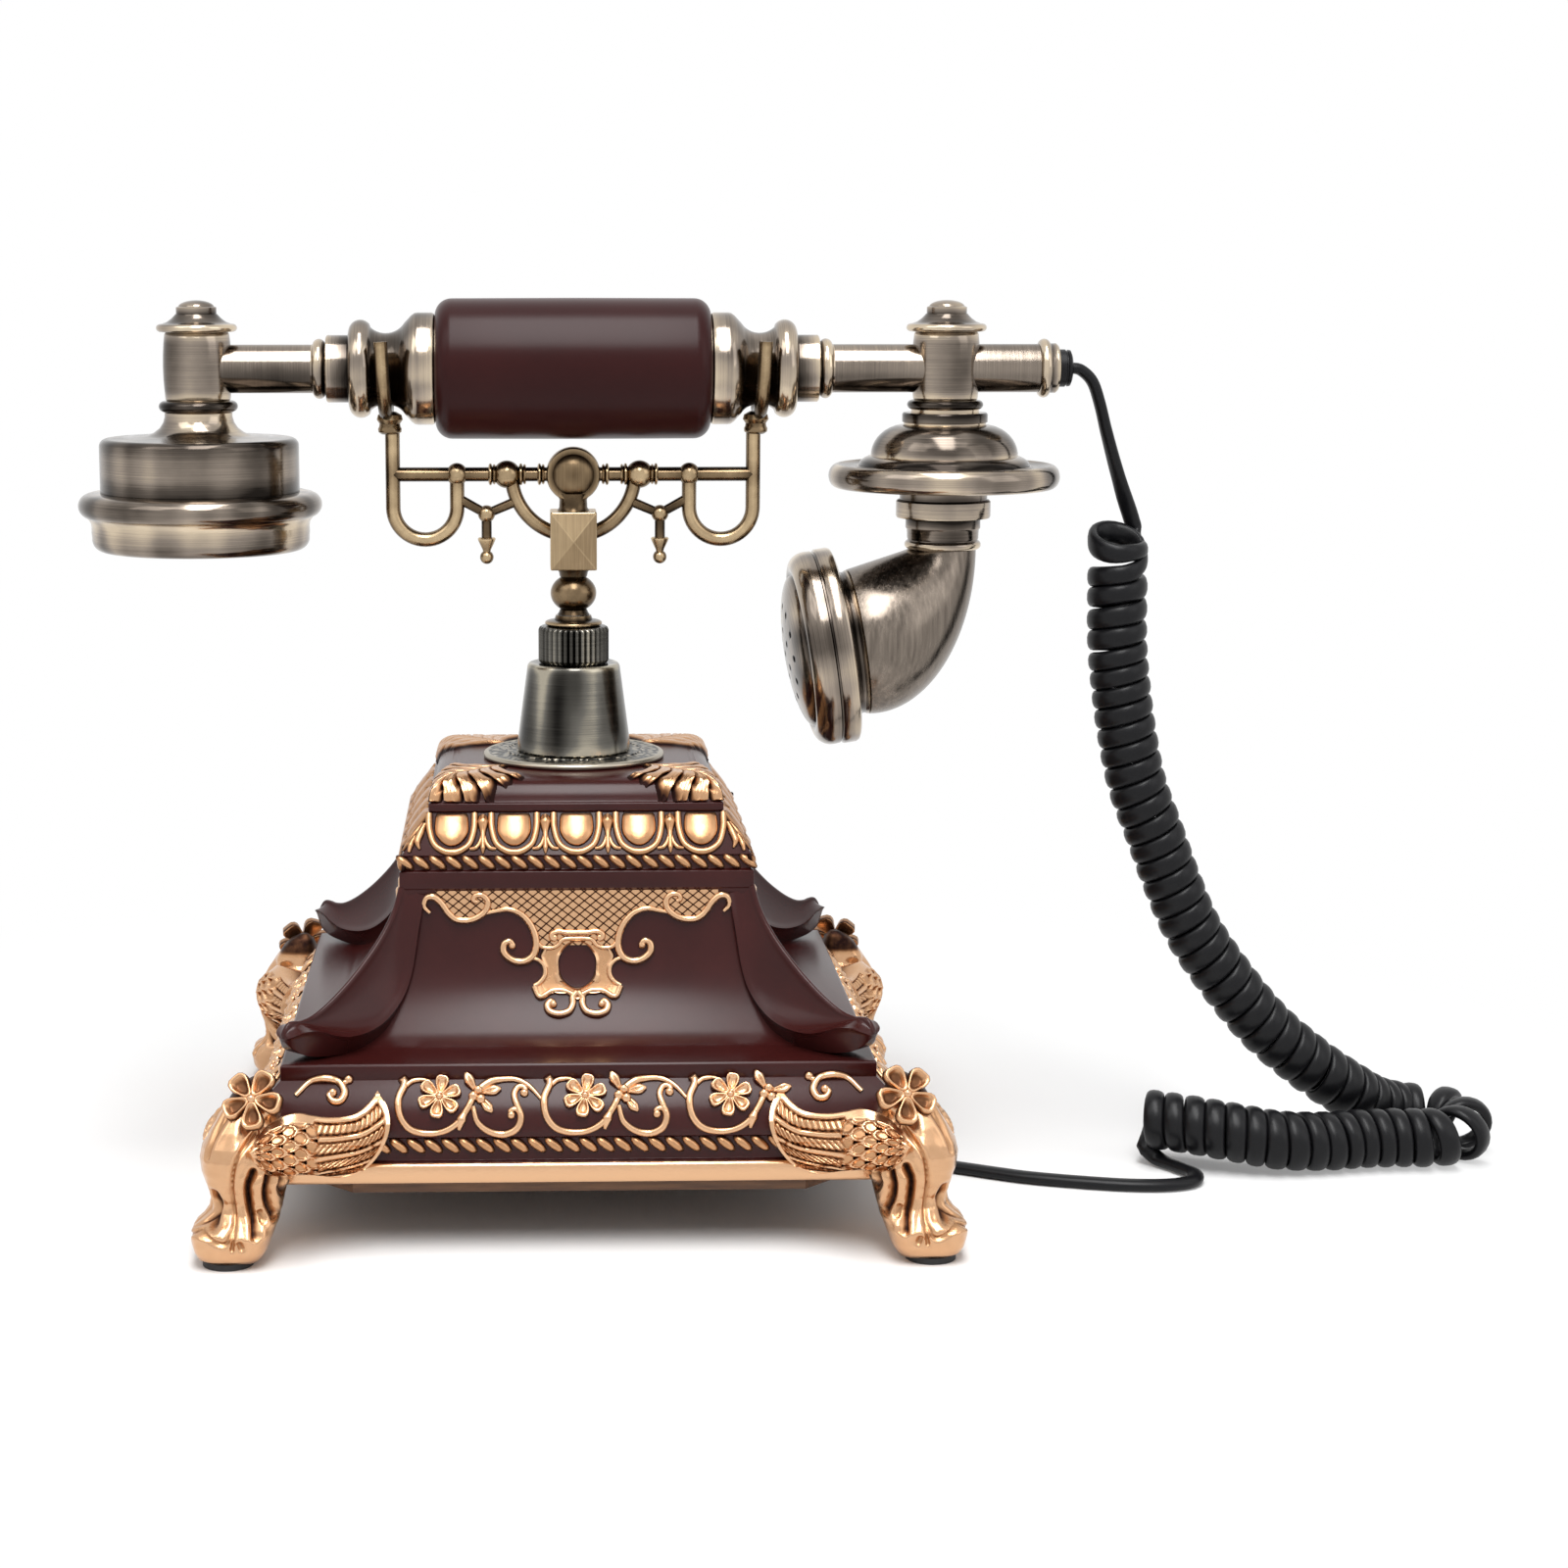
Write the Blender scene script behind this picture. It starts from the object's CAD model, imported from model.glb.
import math
import bpy
import numpy as np
from mathutils import Matrix, Vector


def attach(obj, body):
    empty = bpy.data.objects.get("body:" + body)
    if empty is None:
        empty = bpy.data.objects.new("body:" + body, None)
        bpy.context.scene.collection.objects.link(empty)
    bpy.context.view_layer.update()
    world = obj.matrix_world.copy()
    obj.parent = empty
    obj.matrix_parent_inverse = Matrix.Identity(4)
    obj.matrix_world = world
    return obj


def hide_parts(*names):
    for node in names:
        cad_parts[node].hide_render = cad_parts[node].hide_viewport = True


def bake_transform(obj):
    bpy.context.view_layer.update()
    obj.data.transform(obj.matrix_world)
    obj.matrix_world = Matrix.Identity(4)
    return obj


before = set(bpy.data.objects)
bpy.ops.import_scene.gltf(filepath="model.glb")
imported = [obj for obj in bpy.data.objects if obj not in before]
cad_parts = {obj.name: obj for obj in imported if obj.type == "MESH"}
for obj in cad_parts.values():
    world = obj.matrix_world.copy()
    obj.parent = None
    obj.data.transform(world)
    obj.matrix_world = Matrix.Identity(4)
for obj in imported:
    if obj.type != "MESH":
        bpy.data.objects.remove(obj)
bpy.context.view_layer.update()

MM = 0.001
TAU = 2 * math.pi
HERE = Matrix.Identity(4)

# Camera
bpy.ops.object.camera_add(location=(-12.23 * MM, -765 * MM, 234.2 * MM),
                          rotation=(math.radians(90 - 9.970), 0, -math.radians(1.643)))
camera = bpy.context.object
camera.data.sensor_width = 36
camera.data.lens = 69.16
camera.data.shift_x = 0.11
bpy.context.scene.camera = camera


# Hand tools
def deselect():
    bpy.ops.object.select_all(action="DESELECT")


def pick(*objs):
    """Selects these objects alone; the first of them is the active one."""
    deselect()
    for obj in objs:
        obj.select_set(True)
    bpy.context.view_layer.objects.active = objs[0]


def edit(obj):
    pick(obj)
    bpy.ops.object.mode_set(mode="EDIT")
    bpy.ops.mesh.select_all(action="SELECT")


def leave():
    bpy.ops.object.mode_set(mode="OBJECT")


def smooth(obj, angle=35):
    pick(obj)
    bpy.ops.object.shade_smooth_by_angle(angle=math.radians(angle))


def close_up(obj, caps=True, weld=2e-6):
    """Merges the seam, closes the open ends and turns every face outwards."""
    edit(obj)
    bpy.ops.mesh.remove_doubles(threshold=weld)
    if caps:
        bpy.ops.mesh.fill_holes(sides=0)
    bpy.ops.mesh.normals_make_consistent(inside=False)
    leave()


def modify(obj, kind, **settings):
    pick(obj)
    mod = obj.modifiers.new(kind.title(), kind)
    for key, value in settings.items():
        setattr(mod, key, value)
    bpy.ops.object.modifier_apply(modifier=mod.name)


def soften_edges(obj, width, segments=2, angle=30):
    modify(obj, "BEVEL", width=width * MM, segments=segments, limit_method="ANGLE",
           angle_limit=math.radians(angle), harden_normals=False)


def places(obj):
    """Its points, as an array of places in mm."""
    co = np.zeros(len(obj.data.vertices) * 3)
    obj.data.vertices.foreach_get("co", co)
    return co.reshape(-1, 3) / MM


def reshape(obj, move):
    """Moves every point of a mesh: move takes an array of places in mm and gives the new ones."""
    obj.data.vertices.foreach_set("co", (move(places(obj)) * MM).reshape(-1))
    obj.data.update()


def set_tone(obj, values):
    """Keeps one number a point, from 0 in a dark recess to 1 on a rubbed edge."""
    layer = obj.data.attributes.get("tone") or obj.data.attributes.new("tone", "FLOAT", "POINT")
    tones = np.clip(values, 0, 1) * np.ones(len(obj.data.vertices))
    layer.data.foreach_set("value", tones.astype(np.float32))


def shift(x, y, z):
    return Matrix.Translation((x * MM, y * MM, z * MM))


def spun(angle, axis):
    return Matrix.Rotation(math.radians(angle), 4, axis)


def put(obj, matrix):
    obj.data.transform(matrix)
    if matrix.determinant() < 0:
        obj.data.flip_normals()
    return obj


def copy_of(obj, matrix):
    new = obj.copy()
    new.data = obj.data.copy()
    bpy.context.collection.objects.link(new)
    return put(new, matrix)


def join(pieces):
    pick(*pieces)
    if len(pieces) > 1:
        bpy.ops.object.join()
    return pieces[0]


def hand_over(obj, name, body, slot, material, *nodes):
    """The finished piece: its name, finish, body and the solids that it stands for."""
    obj.name = name
    obj.data.name = name
    obj.data.materials.clear()
    obj.data.materials.append(material)
    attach(obj, body)
    if nodes:
        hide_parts(*nodes)
    return obj


def ease(value, low, high):
    """0 below low, 1 above high and a soft rise between them."""
    u = np.clip((value - low) / (high - low), 0, 1)
    return u * u * (3 - 2 * u)


def arc(centre, rx, ry, start, end, steps=10):
    out = []
    for i in range(steps + 1):
        a = math.radians(start + (end - start) * i / steps)
        out.append((centre[0] + rx * math.cos(a), centre[1] + ry * math.sin(a)))
    return out


def bead(r, z, rr, rz, start=-80, end=80, steps=8):
    """A rounded bead of an outline, with r as its greatest radius."""
    return arc((r - rr, z), rr, rz, start, end, steps)


def curve_at(p, i, u):
    """The smooth curve through places p, a share u of the way from place i to the next."""
    n = len(p) - 1
    a, b, c, d = (np.array(p[k], float) for k in (max(i - 1, 0), i, min(i + 1, n), min(i + 2, n)))
    return (2 * b + (c - a) * u + (2 * a - 5 * b + 4 * c - d) * u ** 2 + (3 * b - 3 * c + d - a) * u ** 3) / 2


def flow(points, per=6):
    """A smooth curve through hand-set points, with as many numbers each as they have."""
    p = np.array(points, float)
    p = np.vstack([2 * p[0] - p[1], p, 2 * p[-1] - p[-2]])
    out = [curve_at(p, i, k / per) for i in range(1, len(p) - 2) for k in range(per)]
    return np.array(out + [p[-2]])


def outline_tone(outline):
    """Rubbed where the outline stands out from its surroundings, dark where it lies back."""
    p = np.array(outline, float)
    at = np.concatenate([[0], np.cumsum(np.linalg.norm(np.diff(p, axis=0), axis=1))])
    fine = np.arange(0, at[-1], 0.25)
    line = np.stack([np.interp(fine, at, p[:, 0]), np.interp(fine, at, p[:, 1])], 1)
    tones = []
    for i in range(len(fine)):
        around = line[np.abs(fine - fine[i]) < 3.0].mean(0)
        r, z = line[min(i + 2, len(fine) - 1)] - line[max(i - 2, 0)]
        outward = np.array([z, -r]) / (math.hypot(r, z) + 1e-9)
        tones.append(0.5 + 0.45 * float(np.dot(line[i] - around, outward)))
    return line, np.clip(tones, 0, 1)


def turn(outline, steps=72, angle=32, rub=0.0):
    """Turns an outline of (radius, height) pairs about the upright axis; rub is added to its tones."""
    deselect()
    bpy.ops.mesh.primitive_plane_add(size=0.001)
    obj = bpy.context.object
    edit(obj)
    bpy.ops.mesh.merge(type="CENTER")
    r, z = outline[0]
    bpy.ops.transform.translate(value=(r * MM, 0, z * MM))
    for (r0, z0), (r1, z1) in zip(outline, outline[1:]):
        bpy.ops.mesh.extrude_region_move(
            TRANSFORM_OT_translate={"value": ((r1 - r0) * MM, 0, (z1 - z0) * MM)})
    bpy.ops.mesh.select_all(action="SELECT")
    bpy.ops.mesh.spin(steps=steps, angle=TAU, center=(0, 0, 0), axis=(0, 0, 1))
    leave()
    close_up(obj)
    co = places(obj)
    line, tone = outline_tone(outline)
    at = np.stack([np.hypot(co[:, 0], co[:, 1]), co[:, 2]], 1)
    nearest = [np.argmin(((line - p) ** 2).sum(1)) for p in at]
    set_tone(obj, tone[nearest] + rub)
    smooth(obj, angle)
    return obj


def bent_grid(name, across, along, place, caps=True, angle=60, thick=0):
    """A flat grid whose points go to place(u, v), with u and v arrays from 0 to 1.

    place gives an array of places in mm and their tones, or None for a piece without tones."""
    deselect()
    bpy.ops.mesh.primitive_grid_add(x_subdivisions=across, y_subdivisions=along, size=1)
    obj = bpy.context.object
    obj.name = name
    u, v = places(obj)[:, :2].T * MM + 0.5
    bent, tone = place(u, v)
    reshape(obj, lambda flat: bent)
    if tone is not None:
        set_tone(obj, tone)
    if thick:
        modify(obj, "SOLIDIFY", thickness=thick * MM, offset=-1)
    close_up(obj, caps)
    smooth(obj, angle)
    return obj


def rod(points, radii, sides=3):
    """A rod along a list of places in mm, with its radius at each of them or one for all."""
    deselect()
    bpy.ops.curve.primitive_bezier_curve_add()
    data = bpy.context.object.data
    data.splines.clear()
    data.dimensions = "3D"
    spline = data.splines.new("POLY")
    spline.points.add(len(points) - 1)
    for point, place, radius in zip(spline.points, points, radii * np.ones(len(points))):
        point.co = (place[0] * MM, place[1] * MM, place[2] * MM, 1)
        point.radius = radius
    data.bevel_depth = MM
    data.bevel_resolution = sides
    data.use_fill_caps = True
    bpy.ops.object.convert(target="MESH")
    obj = bpy.context.object
    close_up(obj, caps=False, weld=1e-7)
    smooth(obj, 50)
    return obj


def stretch(obj, size, place):
    """Stretches a primitive of unit size and moves it to its place in mm."""
    edit(obj)
    bpy.ops.transform.resize(value=size)
    bpy.ops.transform.translate(value=[v * MM for v in place])
    leave()
    return obj


def ball(place, size, segments=16, rings=10):
    deselect()
    bpy.ops.mesh.primitive_uv_sphere_add(segments=segments, ring_count=rings, radius=MM)
    obj = stretch(bpy.context.object, size, place)
    smooth(obj, 80)
    return obj


def block(size, place):
    deselect()
    bpy.ops.mesh.primitive_cube_add(size=MM)
    return stretch(bpy.context.object, size, place)


def cut(obj, cutter):
    modify(obj, "BOOLEAN", object=cutter, operation="DIFFERENCE", solver="EXACT")
    bpy.data.objects.remove(cutter)


def drill_holes(obj, places_mm, radius, height, vertices):
    """Upright holes through a piece, with their middles at these places."""
    drills = []
    for place in places_mm:
        deselect()
        bpy.ops.mesh.primitive_cylinder_add(vertices=vertices, radius=radius * MM, depth=height * MM)
        drills.append(put(bpy.context.object, shift(*place)))
    cut(obj, join(drills))


def facing(place, outward, roll=0.0):
    """Frame with +Z along outward at a place in mm."""
    z = Vector(outward).normalized()
    x = Vector((0, 0, 1)).cross(z).normalized()
    turnover = Matrix((x, z.cross(x), z)).transposed().to_4x4()
    return shift(*place) @ turnover @ spun(roll, "Z")


# Finishes
def set_inputs(node, inputs):
    """Gives each input its value, or a link where the value is another node's socket."""
    for key, value in inputs.items():
        if isinstance(value, bpy.types.NodeSocket):
            node.id_data.links.new(value, node.inputs[key])
        else:
            node.inputs[key].default_value = value


def add(tree, kind, inputs, **settings):
    """Adds a shader node and gives its outputs."""
    node = tree.nodes.new("ShaderNode" + kind)
    for key, value in settings.items():
        setattr(node, key, value)
    set_inputs(node, inputs)
    return node.outputs


def finish_node(name, inputs):
    mat = bpy.data.materials.new(name)
    mat.use_nodes = True
    shader = mat.node_tree.nodes["Principled BSDF"]
    set_inputs(shader, inputs)
    return mat, mat.node_tree, shader


def object_place(tree, scale=(1, 1, 1), frame_turn=(0, 0, 0)):
    """Place on the object along the axes of a turned frame, each times its own scale."""
    return add(tree, "Mapping", {"Vector": add(tree, "TexCoord", {})["Object"], "Rotation": frame_turn,
                                 "Scale": [1 / s for s in scale]}, vector_type="TEXTURE")[0]


def ramp(tree, source, stops):
    node = tree.nodes.new("ShaderNodeValToRGB")
    while len(node.color_ramp.elements) < len(stops):
        node.color_ramp.elements.new(0.5)
    for element, (at, colour) in zip(node.color_ramp.elements, stops):
        element.position = at
        element.color = (*colour, 1) if isinstance(colour, tuple) else (colour, colour, colour, 1)
    set_inputs(node, {"Fac": source})
    return node.outputs["Color"]


def noise(tree, scale, detail=4.0, roughness=0.55, at=None):
    return add(tree, "TexNoise", {"Vector": at or object_place(tree), "Scale": scale, "Detail": detail,
                                  "Roughness": roughness})["Fac"]


def maths(tree, operation, *values):
    return add(tree, "Math", dict(enumerate(values)), operation=operation)[0]


def sum_of(tree, a, b, scale, offset=0.0):
    """a + scale * b + offset"""
    total = maths(tree, "MULTIPLY_ADD", b, scale, a)
    return maths(tree, "ADD", total, offset) if offset else total


def rise(tree, value, low, high, **settings):
    """0 below low, 1 above high and a rise between them."""
    return add(tree, "MapRange", {"Value": value, "From Min": low, "From Max": high}, **settings)[0]


def bump(tree, shader, height, strength, distance):
    raised = add(tree, "Bump", {"Height": height, "Strength": strength, "Distance": distance})
    set_inputs(shader, {"Normal": raised[0]})


def tone_of(tree):
    return add(tree, "Attribute", {}, attribute_name="tone")["Fac"]


def resin(name, rough, gloss, cloud, colours, grain, depth):
    mat, tree, shader = finish_node(name, {"Roughness": rough, "Specular IOR Level": gloss})
    set_inputs(shader, {"Base Color": ramp(tree, noise(tree, *cloud), colours)})
    bump(tree, shader, noise(tree, *grain), *depth)
    return mat


def copper_gold(name, lattice=False):
    mat, tree, shader = finish_node(name, {"Metallic": 0.95})
    tone = sum_of(tree, tone_of(tree), noise(tree, 420), 0.24, -0.12)
    if lattice:
        tone = lattice_tone(tree, tone)
    colour = ramp(tree, tone, [(0.20, (0.018, 0.0070, 0.0060)), (0.36, (0.17, 0.075, 0.034)),
                               (0.55, (0.50, 0.270, 0.135)), (0.95, (0.68, 0.415, 0.240))])
    rough = ramp(tree, tone, [(0.2, 0.50), (0.5, 0.30), (1.0, 0.21)])
    set_inputs(shader, {"Base Color": colour, "Roughness": rough})
    bump(tree, shader, noise(tree, 700), 0.10, 0.0004)
    return mat


def lattice_tone(tree, tone):
    """Dark in two sets of slanting cuts across the piece."""
    x, y, z = add(tree, "SeparateXYZ", {0: object_place(tree)})
    side = maths(tree, "ADD", x, y)
    for slope in (1.25, -1.25):
        wave = maths(tree, "PINGPONG", sum_of(tree, side, z, slope), 1.4 * MM)
        tone = maths(tree, "MULTIPLY", rise(tree, wave, 0.04 * MM, 0.42 * MM), tone)
    return tone


def brushed(name, streak, stops, rough, frame_turn=(0, 0, 0), rubbed=None, cloudy=0.4, wear=0.9):
    """Turned metal: fine lines across the axis, dark in the grooves and bright on the edges."""
    mat, tree, shader = finish_node(name, {"Metallic": 1.0})
    lines = noise(tree, 1.0, 3.0, 0.6, object_place(tree, streak, frame_turn))
    tone = sum_of(tree, tone_of(tree), lines, 0.36, -0.18)
    tone = sum_of(tree, tone, noise(tree, 45), cloudy, -cloudy / 2)
    if rubbed:
        worn = noise(tree, 1.0, 0.5, 0.4, object_place(tree, rubbed, frame_turn))
        tone = sum_of(tree, tone, worn, wear, -wear / 2)
    set_inputs(shader, {"Base Color": ramp(tree, tone, stops),
                        "Roughness": ramp(tree, lines, [(0.3, rough - 0.05), (0.7, rough + 0.06)])})
    bump(tree, shader, lines, 0.03, 0.0002)
    return mat


def engraved():
    """Browned steel with a fine leafy cut between a plain rim and the middle."""
    mat, tree, shader = finish_node("engraved_steel", {"Metallic": 1.0, "Roughness": 0.32})
    cells = add(tree, "TexVoronoi", {"Vector": object_place(tree, (1, 1, 0.2)), "Scale": 480},
                feature="DISTANCE_TO_EDGE")["Distance"]
    flat = add(tree, "VectorMath", {0: object_place(tree), 1: (1, 1, 0)}, operation="MULTIPLY")[0]
    out = add(tree, "VectorMath", {0: flat}, operation="LENGTH")["Value"]
    cut_or_rim = maths(tree, "MAXIMUM", rise(tree, cells, 0.02, 0.22), rise(tree, out, 21.6 * MM, 22.0 * MM))
    set_inputs(shader, {"Base Color": ramp(tree, cut_or_rim, [
        (0.0, (0.006, 0.006, 0.006)), (0.5, (0.07, 0.068, 0.060)), (1.0, (0.42, 0.38, 0.31))])})
    bump(tree, shader, cut_or_rim, 0.5, 0.0003)
    return mat


def stained_wood():
    mat, tree, shader = finish_node("stained_wood", {"Roughness": 0.55})
    grain = noise(tree, 1.0, 6, 0.65, object_place(tree, (60, 1500, 900)))
    colour = ramp(tree, grain, [(0.3, (0.045, 0.018, 0.008)), (0.7, (0.16, 0.075, 0.030))])
    set_inputs(shader, {"Base Color": colour})
    bump(tree, shader, grain, 0.15, 0.0003)
    return mat


def plain(name, colour, rough, metal=0.0, grain=0.0, gloss=0.5):
    mat, tree, shader = finish_node(name, {"Base Color": (*colour, 1), "Roughness": rough, "Metallic": metal,
                                           "Specular IOR Level": gloss})
    if grain:
        bump(tree, shader, noise(tree, 1500, 3), grain, 0.0002)
    return mat


BRONZE = [(0.10, (0.016, 0.013, 0.011)), (0.38, (0.100, 0.083, 0.069)),
          (0.62, (0.280, 0.234, 0.194)), (0.95, (0.660, 0.545, 0.400))]
BRASS = [(0.10, (0.020, 0.013, 0.008)), (0.40, (0.135, 0.092, 0.052)),
         (0.65, (0.290, 0.205, 0.118)), (0.95, (0.600, 0.450, 0.270))]
STEEL = [(0.10, (0.012, 0.011, 0.010)), (0.42, (0.070, 0.066, 0.058)),
         (0.65, (0.150, 0.142, 0.125)), (0.95, (0.420, 0.380, 0.300))]
RESIN = resin("dark_resin", 0.26, 0.25, (60, 5),
              [(0.35, (0.032, 0.0050, 0.0046)), (0.7, (0.041, 0.0068, 0.0061))], (900, 3), (0.04, 0.0003))
GRIP_RESIN = resin("satin_resin", 0.30, 0.15, (40, 3),
                   [(0.3, (0.024, 0.0040, 0.0040)), (0.7, (0.029, 0.0050, 0.0049))], (1400, 2), (0.03, 0.0002))
GOLD = copper_gold("copper_gold")
GOLD_LATTICE = copper_gold("copper_gold_lattice", True)
BRONZE_X = brushed("bronze_turned_along", (7000, 30, 30), BRONZE, 0.16, rubbed=(6, 150, 150))
BRONZE_Z = brushed("bronze_turned_upright", (30, 30, 7000), BRONZE, 0.16, rubbed=(120, 120, 6))
BRASS_CAST = brushed("old_brass", (260, 260, 260), BRASS, 0.24)
BRASS_BRUSHED = brushed("old_brass_brushed", (5000, 60, 60), BRASS, 0.34)
STEEL_Z = brushed("browned_steel", (60, 60, 6000), STEEL, 0.20, rubbed=(170, 170, 6), wear=1.9)
STEEL_PLAIN = brushed("browned_steel_drum", (300, 300, 300), STEEL, 0.3)
BRONZE_SOFT = brushed("bronze_drawn", (900, 900, 60), BRONZE, 0.24, cloudy=0.12)
CAP_FRAME = spun(1, "Z") @ spun(-99, "Y")
BRONZE_CAP = brushed("bronze_turned_cap", (30, 30, 7000), BRONZE, 0.16, CAP_FRAME.to_euler(), (110, 110, 8))
ENGRAVED = engraved()
WOOD = stained_wood()
RUBBER = plain("black_rubber", (0.006, 0.006, 0.007), 0.34, 0, 0.05, 0.20)
PAD = plain("pad_rubber", (0.012, 0.012, 0.013), 0.6, 0, 0.1)
IRON = plain("plain_steel", (0.50, 0.50, 0.48), 0.32, 1.0, 0.05)
WORKS = plain("inner_works", (0.05, 0.07, 0.05), 0.6)
ENAMEL = plain("ivory_enamel", (0.72, 0.66, 0.50), 0.28)
BLACK = plain("black_enamel", (0.012, 0.011, 0.010), 0.35)


# Cord
CORD_W, CORD_T, COIL_D, FULL_W = 4.2, 2.9, 15.4, 5.8
CORD_SIDES, CURL_STEPS, LEAD_STEPS = 14, 28, 6
BUSH_END, HANDSET_Z = 126.0, 205.9
# Places along the middle of the coil, each with the turns made up to it
COIL_AXIS = [
    (139.2, 0, 160, 0), (139.3, 0, 155, 1), (139.7, 0, 137, 4.5), (141, 0, 124.5, 7),
    (143, 0, 112, 9.5), (146, 0, 99, 12.1), (151, 0, 86, 14.8), (156, 0, 73, 17.5), (162, 0, 60, 20.2),
    (171, 0, 47, 23.2), (182, 0, 34, 26.4), (194.5, 1, 23.4, 29.4), (204.5, 3, 16.4, 31.5),
    (213.5, 6.4, 10.8, 33.7), (222.6, 9.5, 8, 35.8), (231.1, 6, 8, 36.9), (234.6, -3, 8, 37.9),
    (231.1, -12, 8, 38.9), (222.6, -15.5, 8, 40), (213, -15.5, 8, 42), (203.5, -16.2, 8, 44),
    (194, -18, 8, 46), (182, -19.5, 8.8, 48.4), (171, -18, 10.4, 50.7), (160, -14.5, 11.6, 53),
    (149.5, -10.5, 12.2, 55.375)]
CURLS = COIL_AXIS[-1][3]
COIL_R = (COIL_D - CORD_T) / 2
UPPER_ROUTE = [(BUSH_END, 0, HANDSET_Z), (128.5, 0, 205.4), (131.5, 0, 202.5), (133.6, 0.4, 197),
               (135.6, 1.2, 190), (138.2, 2.8, 182), (141.2, 5.4, 174), (143.8, 8.2, 168), (145.2, 9.4, 164.2),
               (145.5, 8, 161.6)]
LOWER_ROUTE = [(152, -13.5, 2.1), (156, -19, 1.6), (158.8, -25, 1.6), (156.8, -31, 1.6), (150, -33.8, 1.6),
               (140, -33.4, 1.6), (128, -30.5, 1.6), (116, -26.5, 1.6), (108, -22.5, 1.6), (100, -18, 1.6),
               (90, -12.5, 1.6), (78, -7, 1.6), (66, -3, 1.6), (56, -0.8, 1.8), (49, 0, 3.6), (45.2, 0, 7.2),
               (44, 0, 12.2)]
ALONG, SIDEWAYS, UPWARD = np.eye(3)


def unit(v):
    return v / np.linalg.norm(v)


def square_to(v, way):
    return unit(v - way * np.dot(v, way))


def coil_place(t):
    """The middle of the coil after t turns."""
    i = max([k for k in range(len(COIL_AXIS) - 1) if COIL_AXIS[k][3] <= t] or [0])
    a, b = COIL_AXIS[i][3], COIL_AXIS[i + 1][3]
    return curve_at(COIL_AXIS, i, (t - a) / (b - a))[:3]


def way_at(place, t, step):
    """Direction of a line of the coil after t turns."""
    return unit(place(min(t + step, CURLS)) - place(max(t - step, 0)))


def coil_way(t):
    return way_at(coil_place, t, 0.02)


def curl_way(t):
    return way_at(curl_place, t, 0.01)


def first_loop(t):
    """How far the back of the first turn stands up from the coil."""
    return 6.5 * math.sin(math.pi * (t - 0.25)) ** 2 if 0.25 < t < 1.25 else 0.0


def curl_place(t):
    """The middle of the strand after t turns."""
    way = coil_way(t)
    a = square_to(ALONG + UPWARD, way)
    b = np.cross(way, a)
    return coil_place(t) + COIL_R * (a * math.cos(TAU * t) + b * math.sin(TAU * t)) - way * first_loop(t)


def strand_width(t):
    """Width of the strand in the coil: it fills all but a hair of the pitch."""
    here = curl_place(t)
    pitch = min(np.linalg.norm(curl_place(t + d) - here) for d in (-1, 1) if 0 <= t + d <= CURLS)
    fill = min(1.0, t / 0.5, (CURLS - t) / 0.5)
    return CORD_W + fill * (max(CORD_W, min(FULL_W, pitch - 0.02)) - CORD_W)


def lead(route, ways, wides):
    """A lead from its first way and wide side to its last: rows of place, way, wide side and width."""
    rows = []
    count = LEAD_STEPS * (len(route) - 1)
    for k in range(count + 1):
        i, u, s = k // LEAD_STEPS, k % LEAD_STEPS / LEAD_STEPS, k / count
        way = unit(curve_at(route, i, u + 0.02) - curve_at(route, i, u - 0.02))
        if k in (0, count):
            way = ways[k // count]
        rows.append((curve_at(route, i, u), way, wides[0] * (1 - s) + wides[1] * s, CORD_W))
    return rows


def make_cord():
    start = curl_place(0) - CORD_W * curl_way(0)
    end = curl_place(CURLS) + CORD_W * curl_way(CURLS)
    turns = np.linspace(0, CURLS, int(CURLS * CURL_STEPS) + 1)
    rows = lead(UPPER_ROUTE + [tuple(start)], (ALONG, curl_way(0)), (SIDEWAYS, coil_way(0)))
    rows += [(curl_place(t), curl_way(t), coil_way(t), strand_width(t)) for t in turns]
    rows += lead([tuple(end)] + LOWER_ROUTE, (curl_way(CURLS), UPWARD), (coil_way(CURLS), SIDEWAYS))
    q = TAU * np.arange(CORD_SIDES + 1) / CORD_SIDES
    c, s = np.cos(q), np.sin(q)
    c, s = np.sign(c) * np.abs(c) ** 0.84, np.sign(s) * np.abs(s) ** 0.92
    rings = []
    for place, way, wide, width in rows:
        a = square_to(wide, way)
        rings.append(place + np.outer(c, a) * width / 2 + np.outer(s, np.cross(way, a)) * CORD_T / 2)
    rings = np.array(rings)
    n = len(rings) - 1

    def place_on(u, v):
        return rings[np.rint(v * n).astype(int), np.rint(u * CORD_SIDES).astype(int)], None

    cord = bent_grid("handset_cord", CORD_SIDES, n, place_on)
    cord.data.materials.append(RUBBER)
    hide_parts("cord_upper_lead", "curly_cord", "cord_lower_lead")
    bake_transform(cord)


make_cord()

# Base shell
FRIEZE = [(77.0, 28.5), (77.1, 30.5), (76.3, 33.5), (74.8, 36.5), (72.8, 39.2), (70.9, 41.0)]
HOLLOW = arc((61.6, 81.2), -18.4, -36.2, 84, 0, 22)
DOME = arc((29.0, 101.6), 6.4, 5.4, 12, 90, 8)
SHELL = ([(77.2, 17.3), (77.2, 22.4), (76.2, 22.7), (76.2, 28.2)] + FRIEZE
         + [(71.0, 41.3), (71.0, 44.3), (70.5, 44.8), (61.9, 44.9)] + HOLLOW
         + [(43.4, 81.5), (43.4, 85.6), (42.6, 86.1), (42.4, 89.3), (42.8, 89.6), (35.7, 99.0),
            (36.3, 99.4), (36.3, 101.2), (35.6, 101.6)] + DOME)
BAND = [(77.3, 17.25), (78.0, 17.9), (78.0, 21.7), (77.3, 22.45)]
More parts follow.
